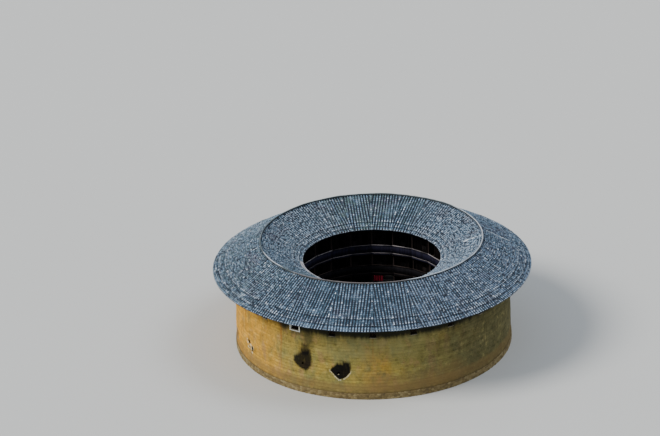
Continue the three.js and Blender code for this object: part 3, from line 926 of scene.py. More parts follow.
# Near-black as painted shade: the rooms' planks and the lantern pole.
SHADE_DARK_TIMBER = Timber("shade_dark_timber", (0.0060, 0.0054, 0.0064), (0.034, 0.025, 0.024))
POST_TIMBER = Timber("post_timber", (0.014, 0.010, 0.009), (0.064, 0.043, 0.039))
EAVE_TIMBER = Timber("eave_timber", (0.016, 0.011, 0.008), (0.095, 0.065, 0.042), Grain.ROUND)
BLEACHED_TIMBER = Timber("bleached_timber", (0.065, 0.056, 0.060), (0.54, 0.49, 0.51), Grain.ROUND)
RED_TIMBER = Timber("red_timber", (0.020, 0.005, 0.003), (0.085, 0.024, 0.012))
# Darkened as painted shade: the second floor's rails.
SHADED_RAIL_TIMBER = Timber("shaded_rail_timber", (0.020, 0.014, 0.013), (0.085, 0.062, 0.058), Grain.ROUND)
# Navy paint darkened as painted shade: the third floor's balustrade and fascia.
NAVY_SHADE_TIMBER = Timber("navy_shade_timber", (0.0045, 0.0042, 0.0105), (0.017, 0.016, 0.040))
# Near-black as painted shade: the second floor's balustrade and fascia.
SHADE_BLACK_TIMBER = Timber("shade_black_timber", (0.0030, 0.0028, 0.0040), (0.011, 0.009, 0.013))
FIELD_STONE = RoughStone(
    "field_stone", (0.115, 0.080, 0.028), (0.20, 0.142, 0.050), (0.29, 0.225, 0.100), (0.110, 0.072, 0.022)
)
GATE_STONE = RoughStone(
    "gate_granite", (0.15, 0.135, 0.105), (0.26, 0.235, 0.185), (0.42, 0.385, 0.31), (0.10, 0.085, 0.06), 60.0
)
# Its part in the gate passage is near-black: trodden earth with painted shade.
SILL_STONE = RoughStone(
    "sill_granite", (0.13, 0.118, 0.095), (0.22, 0.20, 0.165), (0.32, 0.295, 0.245), (0.09, 0.078, 0.058),
    60.0, marked=False, trodden=15.35, specular=0.08,
)
WINDOW_LIME = Lime("window_lime", (0.88, 0.88, 0.78), (0.46, 0.44, 0.35), 0.2)
# Lime darkened as painted shade: the sills, the flue's lip and the slot's surround.
SHADED_SILL_LIME = Lime("shaded_sill_lime", (0.25, 0.22, 0.15), (0.10, 0.085, 0.055), 0.7)


# Meshes from arrays


@dataclass
class Patch:
    """Points, faces and the numbers that points carry, for a piece or part of one."""

    points: Array
    faces: list[Array]
    marks: dict[str, Array] = field(default_factory=dict)

    def flipped(self) -> "Patch":
        """The same patch with its faces looking the other way."""
        return Patch(self.points, [f[:, ::-1] for f in self.faces], self.marks)


def polar(radius: Array | float, angle: Array | float, height: Array | float) -> Array:
    """Points at an angle from the front: x is r sin a, y is -r cos a and z is the height."""
    r, a, z = np.broadcast_arrays(radius, angle, height)
    return np.stack([r * np.sin(a), -r * np.cos(a), z], axis=-1).astype(float)


def sideways(angle: Array | float) -> Array:
    """The level direction across something that faces an angle: (cos a, sin a, 0)."""
    return np.stack([np.cos(angle), np.sin(angle), np.zeros_like(angle, float)], -1)


def sheet(points: Array, marks: dict[str, Array | float] | None = None, wrap: bool = False) -> Patch:
    """A grid of points as a surface, facing the side of (rows direction) x (columns direction).

    Args:
        points: (rows, columns, 3) places; point (i, j) becomes number i * columns + j.
        marks: the numbers that points carry, by name.
        wrap: whether the last row joins the first.

    Returns:
        The surface.
    """
    rows, columns = points.shape[:2]
    i = np.arange(rows if wrap else rows - 1)[:, None]
    j = np.arange(columns - 1)[None, :]
    a, b = i * columns + j, ((i + 1) % rows) * columns + j
    faces = np.stack([a, b, b + 1, a + 1], axis=-1).reshape(-1, 4)
    flat = {k: np.broadcast_to(v, (rows, columns)).reshape(-1) for k, v in (marks or {}).items()}
    return Patch(points.reshape(-1, 3), [faces], flat)


def gathered(patches: list[Patch]) -> Patch:
    """Several patches as one, with face numbers moved up and missing marks set to 0.5.

    Args:
        patches: the parts.

    Returns:
        The one patch.
    """
    names = sorted({name for patch in patches for name in patch.marks})
    marks = {
        n: np.concatenate([p.marks.get(n, np.full(len(p.points), 0.5)) for p in patches]) for n in names
    }
    faces, start = [], 0
    for patch in patches:
        faces += [f + start for f in patch.faces]
        start += len(patch.points)
    return Patch(np.concatenate([p.points for p in patches]), faces, marks)


def ripple(x: Array, y: Array | float, seed: int, period: int = 64) -> Array:
    """Smooth noise from -1 to 1: random numbers on a unit lattice, blended by a smoothstep each way.

    Args:
        x: first coordinate, which repeats after period.
        y: second coordinate, which repeats after 64.
        seed: which lattice.
        period: lattice cells before x repeats.

    Returns:
        The noise at each point.
    """
    lattice = np.random.default_rng(seed).uniform(-1, 1, (period, 64))
    i, j = np.floor(x).astype(int), np.floor(y).astype(int)
    u, v = x - i, y - j
    u, v = u * u * (3 - 2 * u), v * v * (3 - 2 * v)
    low, high = (
        lattice[i % period, k % 64] * (1 - u) + lattice[(i + 1) % period, k % 64] * u for k in (j, j + 1)
    )
    return low * (1 - v) + high * v


BOX_CORNERS = np.array([[x, y, z] for z in (-1, 1) for y in (-1, 1) for x in (-1, 1)], float)
BOX_FACES = np.array([[0, 2, 3, 1], [4, 5, 7, 6], [0, 1, 5, 4], [2, 6, 7, 3], [0, 4, 6, 2], [1, 3, 7, 5]])


def from_corners(points: Array, tones: Array | float) -> Patch:
    """Blocks made from the (n, 8, 3) places of their corners."""
    n = len(points)
    faces = (BOX_FACES[None] + 8 * np.arange(n)[:, None, None]).reshape(-1, 4)
    return Patch(points.reshape(-1, 3), [faces], {"tone": np.repeat(np.broadcast_to(tones, (n,)), 8)})


def boxes(centres: Array, sizes: Array, angles: Array | float, tones: Array | float = 0.5) -> Patch:
    """Many upright blocks turned about their own middles: corner = centre + turn * (sign * size / 2).

    Args:
        centres: (n, 3) middles.
        sizes: (n, 3) lengths across, along the radius and upward.
        angles: the angle from the front that each faces.
        tones: the tone mark of each.

    Returns:
        The blocks as one patch.
    """
    centres = np.atleast_2d(centres).astype(float)
    n = len(centres)
    local = BOX_CORNERS[None] * np.broadcast_to(np.asarray(sizes, float), (n, 3))[:, None] / 2
    a = np.broadcast_to(np.asarray(angles, float), (n,))[:, None]
    x = local[..., 0] * np.cos(a) - local[..., 1] * np.sin(a)
    y = local[..., 0] * np.sin(a) + local[..., 1] * np.cos(a)
    return from_corners(np.stack([x, y, local[..., 2]], -1) + centres[:, None], tones)


def unit(vectors: Array) -> Array:
    """Vectors shortened to a length of 1."""
    return vectors / np.linalg.norm(vectors, axis=1, keepdims=True)


def beams(starts: Array, ends: Array, width: float, depth: float, tones: Array | float = 0.5) -> Patch:
    """Straight square timbers between points, each section across the run and as level as it can be.

    Args:
        starts: (n, 3) middles of the first ends.
        ends: (n, 3) middles of the other ends.
        width: the timbers' level size.
        depth: their upright size.
        tones: the tone mark of each.

    Returns:
        The timbers as one patch.
    """
    starts, ends = np.atleast_2d(starts), np.atleast_2d(ends)
    run = unit(ends - starts)
    side = unit(np.cross(run, [0.0, 0.0, 1.0]))
    top = np.cross(side, run)
    x, y, z = (BOX_CORNERS[None, :, k:k + 1] for k in range(3))
    section = x * (side * width / 2)[:, None] + z * (top * depth / 2)[:, None]
    return from_corners(((starts + ends) / 2)[:, None] + y * ((ends - starts) / 2)[:, None] + section, tones)


def logs(
    starts: Array, ends: Array, radii: Array | tuple[float, ...], sides: int, seed: int, bow: float = 0.01
) -> Patch:
    """Round timbers, each a circle carried along a slightly bowed line.

    Args:
        starts: (n, 3) lower ends.
        ends: (n, 3) upper ends.
        radii: the radius at each of k rings from start to end.
        sides: faces round each log.
        seed: for the bow and the tone.
        bow: how far a log's middle may stray.

    Returns:
        The logs with capped ends.
    """
    starts, ends = np.atleast_2d(starts), np.atleast_2d(ends)
    n, k = len(starts), len(radii)
    rng = np.random.default_rng(seed)
    run = ends - starts
    axis = unit(run)
    side = unit(np.cross(axis, np.where(np.abs(axis[:, 2:]) > 0.9, [1.0, 0.0, 0.0], [0.0, 0.0, 1.0])))
    other = np.cross(axis, side)
    t = np.linspace(0, 1, k)
    sway = rng.uniform(-bow, bow, (n, 2, 1)) * np.sin(np.pi * t)
    centre = starts[:, None] + run[:, None] * t[None, :, None]
    centre = centre + side[:, None] * sway[:, 0, :, None] + other[:, None] * sway[:, 1, :, None]
    turn = np.linspace(0, TURN, sides, endpoint=False)[None, :, None]
    circle = side[:, None] * np.cos(turn) + other[:, None] * np.sin(turn)
    points = centre[:, :, None] + circle[:, None] * np.asarray(radii)[None, :, None, None]
    i = np.arange(k - 1)[:, None] * sides
    j = np.arange(sides)[None, :]
    following = (j + 1) % sides
    quads = np.stack([i + j, i + following, i + sides + following, i + sides + j], -1).reshape(-1, 4)
    caps = np.stack([np.arange(sides)[::-1], (k - 1) * sides + np.arange(sides)])
    shift = (np.arange(n) * k * sides)[:, None, None]
    faces = [(quads[None] + shift).reshape(-1, 4), (caps[None] + shift).reshape(-1, sides)]
    return Patch(points.reshape(-1, 3), faces, {"tone": np.repeat(rng.uniform(0.1, 0.9, n), k * sides)})


def shell(outer: Array, inner: Array, present: Array, wrap: bool) -> Patch:
    """A thick wall with holes: an outer and an inner grid, joined round every edge of the cells present.

    Args:
        outer: (u, v, 3) points of the face that looks out, u running anticlockwise and v upward.
        inner: the points behind them.
        present: (cells along u, v - 1) true where there is wall.
        wrap: whether the last column of cells joins the first.

    Returns:
        The closed wall.
    """
    rows, columns = outer.shape[:2]
    cells = len(present)
    front = np.arange(rows * columns).reshape(rows, columns)
    (a, b, c, d), (e, f, g, h) = (
        (here[:, :-1], after[:, :-1], after[:, 1:], here[:, 1:])
        for here, after in ((n[:cells], np.roll(n, -1, axis=0)[:cells]) for n in (front, front + front.size))
    )

    def quads(mask: Array, *corners: Array) -> Array:
        """A quad with the given corners at every cell of a mask."""
        return np.stack([corner[mask] for corner in corners], -1)

    around = present if wrap else np.pad(present, ((1, 1), (0, 0)))
    next_u, last_u = (np.roll(around, s, axis=0)[0 if wrap else 1:][:cells] for s in (-1, 1))
    next_v = np.pad(present, ((0, 0), (0, 1)))[:, 1:]
    last_v = np.pad(present, ((0, 0), (1, 0)))[:, :-1]
    faces = [
        quads(present, a, b, c, d),
        quads(present, e, h, g, f),
        quads(present & ~next_u, b, f, g, c),
        quads(present & ~last_u, a, d, h, e),
        quads(present & ~next_v, d, c, g, h),
        quads(present & ~last_v, a, e, f, b),
    ]
    return Patch(np.concatenate([outer.reshape(-1, 3), inner.reshape(-1, 3)]), [np.concatenate(faces)])


@dataclass
class Piece:
    """How a finished patch is put into the scene.

    smooth is the angle in degrees up to which edges are soft, and None leaves every edge sharp.
    """

    name: str
    slot: str
    material: Material
    stands_for: tuple[str, ...] = ()
    smooth: float | None = 40.0
    weld: bool = False
    weld_distance: float = 0.0004

    def put(self, patch: Patch) -> bpy.types.Object:
        """Makes the mesh object, rides it on the body and hides the frame nodes that it stands for.

        Args:
            patch: the piece's points and faces.

        Returns:
            The new object.
        """
        mesh = bpy.data.meshes.new(self.name)
        mesh.vertices.add(len(patch.points))
        mesh.vertices.foreach_set("co", patch.points.astype(np.float32).ravel())
        loops = np.concatenate([f.ravel() for f in patch.faces]).astype(np.int32)
        sizes = np.concatenate([np.full(len(f), f.shape[1]) for f in patch.faces]).astype(np.int32)
        mesh.loops.add(len(loops))
        mesh.loops.foreach_set("vertex_index", loops)
        mesh.polygons.add(len(sizes))
        mesh.polygons.foreach_set("loop_start", (np.cumsum(sizes) - sizes).astype(np.int32))
        mesh.update(calc_edges=True)
        for name, values in patch.marks.items():
            attribute = mesh.attributes.new(name, "FLOAT", "POINT")
            attribute.data.foreach_set("value", values.astype(np.float32))
        self._clean(mesh)
        if self.smooth is not None:
            mesh.polygons.foreach_set("use_smooth", np.ones(len(mesh.polygons), bool))
            mesh.set_sharp_from_angle(angle=radians(self.smooth))
        mesh.materials.append(self.material)
        piece = bpy.data.objects.new(self.name, mesh)
        bpy.context.scene.collection.objects.link(piece)
        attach(piece, BODY)
        if self.stands_for:
            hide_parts(*self.stands_for)
        LOG.info("%s: %d faces", self.name, len(mesh.polygons))
        return piece

    def _clean(self, mesh: bpy.types.Mesh) -> None:
        """Merges doubled points where asked and drops loose ones.

        Args:
            mesh: the mesh to change.
        """
        work = bmesh.new()
        work.from_mesh(mesh)
        if self.weld:
            bmesh.ops.remove_doubles(work, verts=work.verts, dist=self.weld_distance)
        bmesh.ops.delete(work, geom=[v for v in work.verts if not v.link_faces], context="VERTS")
        work.to_mesh(mesh)
        work.free()


def nodes_named(start: str) -> tuple[str, ...]:
    """The frame's node names that begin with a word."""
    return tuple(sorted(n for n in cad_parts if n.startswith(start)))


# Roof


class Slope(Enum):
    """Which way a roof slope falls."""

    OUTER = "outer"
    INNER = "inner"


@dataclass
class TileSlope:
    """One slope of small clay tiles: rows run parallel inside each bay and are cut where bays meet.

    bands holds the reach and the thickness of each extra layer along the eave, and band_shade the depth of
    the shade under its edge. The last six sizes are how unevenly tiles lie.
    """

    slope: Slope
    rows: int
    course: float = 0.25
    cover_width: float = 0.165
    cover_rise: float = 0.062
    pan_depth: float = 0.030
    tile_thickness: float = 0.022
    pan_line: float = -0.055
    skirt: float = 0.15
    clearance: float = 0.008
    joint: float = 0.004
    foot: float = 0.012
    arch_bend: float = 0.62
    over_ridge: float = 0.06
    past_ridge: float = 0.05
    # Painted shade beside the seam covers: how far from the seam it begins to fade, and over what distance.
    seam_shade_from: float = 0.09
    seam_shade_over: float = 0.20
    seed: int = 11
    bands: tuple[Span, ...] = ((0.64, 0.045), (1.42, 0.035))
    band_shade: float = 0.085
    ragged: float = 0.020
    looseness: Span = (0.6, 1.9)
    shift: float = 0.011
    wander: float = 0.012
    sag: float = 0.022
    row_tones: float = 0.28

    @property
    def eave_radius(self) -> float:
        """The radius of the slope's lower edge."""
        return HOUSE.eave_radius if self.slope is Slope.OUTER else HOUSE.inner_eave_radius

    @property
    def inward(self) -> float:
        """How the radius goes up the slope: -1 where it shrinks, 1 where it grows."""
        return -1.0 if self.slope is Slope.OUTER else 1.0

    @property
    def length(self) -> float:
        """The distance from eave to ridge, measured level, with a little to spare."""
        return abs(HOUSE.ridge_radius - self.eave_radius) + 0.12

    def courses(self) -> Array:
        """Level distances of the courses' lower ends from the eave.

        They are shared out evenly between the eave, the extra layers' edges and the ridge, and a short
        course lies in the shade under each extra layer's edge.
        """
        stops = [0.0, *(d for reach, _ in self.bands for d in (reach - self.band_shade, reach)), self.length]
        return np.concatenate([
            np.linspace(a, b, max(1, round((b - a) / self.course)), endpoint=False)
            for a, b in zip(stops[:-1], stops[1:], strict=True)
        ])

    def layers(self, start: Array) -> tuple[Array, Array, Array]:
        """Where the courses lie among the extra layers along the eave.

        Args:
            start: level distances of the courses' lower ends from the eave.

        Returns:
            How far each course lies below the topmost layer, whether it is the edge of one, and whether it
            lies in the shade under an edge.
        """
        drop = sum(rise * (start < reach - 0.001) for reach, rise in self.bands)
        edge, shaded = (
            np.isclose(start[:, None], [[reach - back for reach, _ in self.bands]]).any(axis=1)
            for back in (0.0, self.band_shade)
        )
        return drop, edge, shaded

    def columns(self) -> tuple[Array, Array, Array]:
        """The lines that run up the slope within a bay.

        Each row of tiles has its own few: the middle of the channel, both foot edges of the cover and
        the cover's back, an arch whose height is the root of 1 less the square of the distance across.

        Returns:
            Distances across the bay, heights of the section there, and the row number of each.
        """
        half = self.cover_width / 2
        bend, foot = half * self.arch_bend, half + self.foot
        pitch = 2 * max(self.eave_radius, HOUSE.ridge_radius) * math.sin(HOUSE.bay / 2) / self.rows
        across = np.array([-pitch / 2, -foot, -half, -bend, 0.0, bend, half, foot])
        arch = self.cover_rise * np.sqrt(np.clip(1 - (across / half) ** 2, 0, 1))
        section = np.where(np.abs(across) <= half, arch + self.joint, 0.0)
        section[0] = -self.pan_depth
        rows = np.arange(self.rows) - (self.rows - 1) / 2
        u = (rows[:, None] * pitch + across[None]).ravel()
        row = np.append(np.repeat(np.arange(self.rows), len(across)), self.rows - 1)
        return np.append(u, -u[0]), np.append(np.tile(section, self.rows), section[0]), row

    def sector(self, index: int) -> Patch:
        """The tiles of one bay.

        A point lies on the roof's cone at distance s up from the eave along its row, raised by the section
        of covers and channels and by a saw-tooth: each tile rises by its thickness towards its lower lip.

        Args:
            index: the bay's number from the front.

        Returns:
            The bay's tiles, with tone, crown, lip and cut marks; cut carries painted shade beside the seams.
        """
        rng = np.random.default_rng(self.seed + index)
        u, section, row = self.columns()
        section = section[:, None]
        start = self.courses()
        shape = (self.rows, len(start))
        drop, edge, shaded = self.layers(start)

        def per_tile(values: Array) -> Array:
            """A number for each tile, at both of its ends and on each of its lines."""
            return np.repeat(values, 2, axis=1)[row]

        fixed = edge | shaded | (start == 0)
        low = start[None, :] + rng.uniform(-self.ragged, self.ragged, shape) * ~fixed
        high = np.append(low[:, 1:], np.full((self.rows, 1), self.length), axis=1)
        along = np.stack([low + self.joint, high], -1).reshape(self.rows, -1)[row]
        raised = np.tile([1.0, 0.0], len(start))[None]
        row_tone = rng.random((self.rows, 1)) * self.row_tones
        tone = per_tile(rng.random(shape) * (1 - self.row_tones) + row_tone)
        loose = per_tile(rng.uniform(*self.looseness, shape))
        r = np.sqrt(self.eave_radius**2 - u**2)[:, None] + self.inward * along
        seam = np.abs(u)[:, None] / math.tan(HOUSE.bay / 2)
        from_seam = (r - seam) * math.sin(HOUSE.bay / 2)
        r = np.clip(r, seam, None)
        ridge = np.sqrt(HOUSE.ridge_radius**2 - u**2)[:, None] + self.inward * self.past_ridge
        r = np.maximum(r, ridge) if self.slope is Slope.OUTER else np.minimum(r, ridge)
        cover = section > 0
        shift = per_tile(rng.uniform(-self.shift, self.shift, shape))
        wander = self.wander * ripple(row[:, None] * 0.7 + index * 17, along * 0.45, self.seed)
        across = u[:, None] + np.where(cover, shift + wander, 0.0)
        radius = np.hypot(r, across)
        angle = index * HOUSE.bay + np.arctan2(across, r)
        lift = self.tile_thickness * loose * raised - np.repeat(drop, 2)[None]
        sag = self.sag * ripple(angle / TURN * 66, radius * 0.7, self.seed + 5, 66)
        height = HOUSE.roof(radius) + self.pan_line + section + lift + sag
        height = np.minimum(height, HOUSE.roof(HOUSE.ridge_radius) + self.over_ridge)
        height = np.maximum(height, HOUSE.roof(radius) - self.skirt + self.clearance)
        crown = np.where(section < 0, 0.12, np.where(cover, section / (self.cover_rise + self.joint), 0.0))
        # Painted shade: tiles darkened next to the seam covers, fading with the distance from the seam.
        cut = np.clip(1 - (from_seam - self.seam_shade_from) / self.seam_shade_over, 0.0, 1.0)
        eave = start < self.bands[0][0] - self.band_shade - 0.01
        marks = {"tone": tone, "crown": crown, "lip": raised, "cut": cut}
        flags = {"eave": eave, "rim": edge, "shade": shaded}
        marks |= {k: np.repeat(v, 2)[None] * 1.0 for k, v in flags.items()}
        marks["rim"] = marks["rim"] * raised
        floor = polar(radius[:, :1], angle[:, :1], HOUSE.roof(radius[:, :1]) - self.skirt)
        marks = {k: np.pad(np.broadcast_to(v, r.shape), ((0, 0), (1, 0))) for k, v in marks.items()}
        patch = sheet(np.concatenate([floor, polar(radius, angle, height)], axis=1), marks)
        return patch if self.slope is Slope.OUTER else patch.flipped()

    def seam(self, index: int) -> Patch:
        """The covers laid over the line between two bays: a closed arch carried up the slope.

        Args:
            index: the line's number, after the bay of the same number.

        Returns:
            The row, stepped up by a tile's thickness at each course.
        """
        rng = np.random.default_rng(self.seed + 100 + index)
        start = self.courses()
        drop, edge, shaded = self.layers(start)
        along = np.stack([start + self.joint, np.append(start[1:], self.length)], -1).ravel()
        raised = np.tile([1.0, 0.0], len(start))
        part = np.array([1.0, self.arch_bend, 0.0, -self.arch_bend, -1.0, 0.0])[None]
        arch = np.where(np.arange(6) < 5, np.sqrt(1 - part**2) * self.cover_rise, -self.pan_depth)
        wander = 0.02 * ripple(along * 0.8, np.full(len(along), index + 0.5), self.seed)[:, None]
        across = part * self.cover_width / 2 + wander
        r = np.broadcast_to((self.eave_radius + self.inward * along)[:, None], across.shape)
        radius = np.hypot(r, across)
        angle = HOUSE.bay_line(index) + np.arctan2(across, r)
        lift = (self.tile_thickness * raised - np.repeat(drop, 2))[:, None]
        height = HOUSE.roof(radius) + self.pan_line + self.foot + arch + lift
        points = polar(radius, angle, np.minimum(height, HOUSE.roof(HOUSE.ridge_radius) + self.over_ridge))
        middle = points.mean(axis=1, keepdims=True)
        points = np.concatenate([np.repeat(middle[:1], 6, axis=1), points, np.repeat(middle[-1:], 6, axis=1)])
        each = {"tone": rng.random(len(start)), "eave": start < 0.5, "rim": edge, "shade": shaded}
        marks = {k: np.repeat(v, 2)[:, None] * 1.0 for k, v in each.items()} | {"lip": raised[:, None]}
        marks["rim"] = marks["rim"] * marks["lip"]
        marks["crown"] = np.array([0.2, 0.8, 1.0, 0.8, 0.2, 0.0])[None]
        turn = slice(None, None, int(self.inward))
        marks = {k: np.broadcast_to(v, across.shape) for k, v in marks.items()}
        marks = {k: np.pad(v, ((1, 1), (0, 0)), "edge").T[turn] for k, v in marks.items()}
        return sheet(points.transpose(1, 0, 2)[turn], marks, wrap=True)

    def underside(self, indices: range) -> Patch:
        """The boards under the tiles: the roof's cone lowered by the skirt, facing down.

        Args:
            indices: numbers of the bays that they cover.

        Returns:
            The boards as one sheet.
        """
        first = (indices[0] - 0.5) * HOUSE.bay
        angle = first + np.linspace(0, len(indices) * HOUSE.bay, len(indices) * 8 + 1)[:, None]
        low, high = sorted((self.eave_radius, HOUSE.ridge_radius))
        radius = np.array([low, *(r for r in HOUSE.roof_radii if low < r < high), high])[None]
        marks = {name: 0.0 for name in ("tone", "crown", "lip", "eave", "rim", "shade", "cut")}
        return sheet(polar(radius, angle, HOUSE.roof(radius) - self.skirt), marks)

    def build(self, material: Material) -> None:
        """Puts the slope in as two half rings.

        Args:
            material: the tile finish.
        """
        label, half = self.slope.value, HOUSE.bays // 2
        for side, indices in (("right", range(half)), ("left", range(half, HOUSE.bays))):
            patch = gathered([*(self.sector(i) for i in indices), self.underside(indices)])
            nodes = tuple(n for n in nodes_named(f"{label}_roof") if n.endswith(side))
            Piece(f"{label}_tiles_{side}", "roof_tile", material, nodes, 35.0, True).put(patch)
        seams = gathered([self.seam(i) for i in range(HOUSE.bays)])
        Piece(f"{label}_seam_tiles", "roof_tile", material, (), 35.0, True).put(seams)


@dataclass
class RidgeCap:
    """The ridge: a low mortared bank, wavy and chipped, whose profile is carried round the ring."""

    half_width: float = 0.080
    height: float = 0.110
    base: float = 0.03
    highest: float = 0.205
    uneven: float = 0.16
    wave: float = 0.02
    sway: float = 0.025
    steps: int = 440
    seed: int = 31

    def build(self, material: Material) -> None:
        """Carries the profile round: its width and top height vary with smooth noise.

        Args:
            material: the mortar finish.
        """
        angle = np.linspace(0, TURN, self.steps, endpoint=False)[:, None]
        across = np.array([1.0, 1.02, 0.86, 0.5, 0.0, -0.5, -0.86, -1.02, -1.0])[None]
        rise = np.array([-0.9, 0.15, 0.62, 0.93, 1.0, 0.93, 0.62, 0.15, -0.9])[None]

        def uneven(size: float, cells: int, stretch: float, number: int) -> Array:
            """Noise that repeats once round the ring, so many cells round and stretched across."""
            return size * ripple(angle / TURN * cells, across * stretch, self.seed + number, cells)

        wide, tall = 1 + uneven(self.uneven, 96, 1.5, 0), 1 + uneven(self.uneven, 128, 1.2, 1)
        radius = HOUSE.ridge_radius + uneven(self.sway, 32, 0.0, 3) + across * self.half_width * wide
        level = HOUSE.roof(HOUSE.ridge_radius)
        height = level + self.base + uneven(self.wave, 40, 0.0, 2)
        height = height + rise * self.height * np.where(rise > 0, tall, 1.0)
        height = np.minimum(height, level + self.highest)
        crest = np.clip(rise[:, ::-1], 0.0, 1.0)
        bank = sheet(polar(radius, angle, height)[:, ::-1], {"crest": crest}, wrap=True)
        under = sheet(polar(radius[:, [0, -1]], angle, height[:, [0, -1]]), {"crest": 0.0}, wrap=True)
        Piece("ridge_bank", "lime_mortar", material, ("ridge_cap",), 60.0, True).put(gathered([bank, under]))


@dataclass
class EaveTimbers:
    """What carries the eaves: outrigger beams, purlins and the rafters under the tiles."""

    purlin_radius: float = 17.3
    log_radius: float = 0.085
    rafter_width: float = 0.10
    rafter_depth: float = 0.035
    rafter_drop: float = 0.185
    wall_end: float = 15.2
    ridge_end: float = 12.3
    rafters_in_bay: int = 16
    inner_rafters_in_bay: int = 10

    def rafters(self, count: int, low: float, high: float, seed: int) -> Patch:
        """Flat rafters that follow a slope, spread evenly over each bay.

        Args:
            count: rafters in a bay.
            low: radius where they start.
            high: radius where they end.
            seed: for their tones.

        Returns:
            The rafters as one patch.
        """
        rng = np.random.default_rng(seed)
        bay, row = np.meshgrid(np.arange(HOUSE.bays), np.arange(count), indexing="ij")
        angle = ((bay + (row + 0.5) / count - 0.5) * HOUSE.bay).ravel()
        starts, ends = (polar(r, angle, HOUSE.roof(r) - self.rafter_drop) for r in (low, high))
        return beams(starts, ends, self.rafter_width, self.rafter_depth, rng.uniform(0, 1, len(angle)))

    def build(self, material: Material) -> None:
        """Puts in the outriggers with their purlins, and the rafters of both eaves.

        Args:
            material: the timbers' finish.
        """
        line = HOUSE.all_lines()
        top = float(HOUSE.roof(self.purlin_radius)) - self.rafter_drop - self.rafter_depth / 2
        level = top - 2 * self.log_radius - 0.085
        starts, ends = polar(self.wall_end, line, level), polar(self.purlin_radius + 0.13, line, level)
        out = logs(starts, ends, (0.085, 0.09, 0.088, 0.08), 10, 41, 0.006)
        ring = polar(self.purlin_radius, line, top - self.log_radius)
        following = np.roll(ring, -1, axis=0)
        overlap = (following - ring) * 0.03
        purlins = logs(ring - overlap, following + overlap, (0.08, 0.085, 0.08), 10, 42, 0.01)
        outer = self.rafters(self.rafters_in_bay, self.wall_end, HOUSE.eave_radius - 0.05, 43)
        inner = self.rafters(self.inner_rafters_in_bay, HOUSE.inner_eave_radius + 0.03, self.ridge_end, 44)
        beam_nodes = nodes_named("eave_frame")
        Piece("eave_beams", "old_timber", material, beam_nodes, 40.0).put(gathered([out, purlins]))
        Piece("outer_rafters", "old_timber", material, (), None).put(outer)
        Piece("inner_rafters", "old_timber", material, (), None).put(inner)


# Earth wall


@dataclass(frozen=True)
class Hole:
    """A rectangular opening through the wall: the angle of its middle, its width and its heights.

    face is the radius on which its width is measured.
    """

    angle: float
    width: float
    low: float
    high: float
    face: float = 15.55

    @property
    def half_angle(self) -> float:
        """Half the angle it takes up on the outer face."""
        return math.asin(self.width / 2 / self.face)

    @property
    def middle(self) -> float:
        """The height of its middle."""
        return (self.low + self.high) / 2

    @property
    def tall(self) -> float:
        """The distance from sill to head."""
        return self.high - self.low

    def frame(self, lap: float, bar: float, depth: float) -> list[tuple[float, ...]]:
        """Two uprights and two level bars between them, in the form that blocks takes.

        Args:
            lap: how far they reach over the opening.
            bar: their width.
            depth: their size through the wall.

        Returns:
            The four bars.
        """
        wide, tall = self.width - 2 * lap, self.tall - 2 * lap
        uprights = [(s * (wide + bar) / 2, 0.0, bar, depth, tall + 2 * bar) for s in (-1, 1)]
        return uprights + [(0.0, s * (tall + bar) / 2, wide, depth, bar) for s in (-1, 1)]

    def blocks(self, behind: float, rows: list[tuple[float, ...]], tones: Array | float = 0.5) -> Patch:
        """Blocks round the opening's middle.

        Args:
            behind: how far their middles lie behind the wall's face.
            rows: for each block its place across and up from the middle, its width, depth and height.
            tones: the tone mark of each.

        Returns:
            The blocks.
        """
        across, up, *sizes = np.array(rows).T
        centre = polar(HOUSE.wall_outer(self.middle) - behind, self.angle, self.middle + up)
        return boxes(centre + across[:, None] * sideways(self.angle), np.stack(sizes, 1), self.angle, tones)


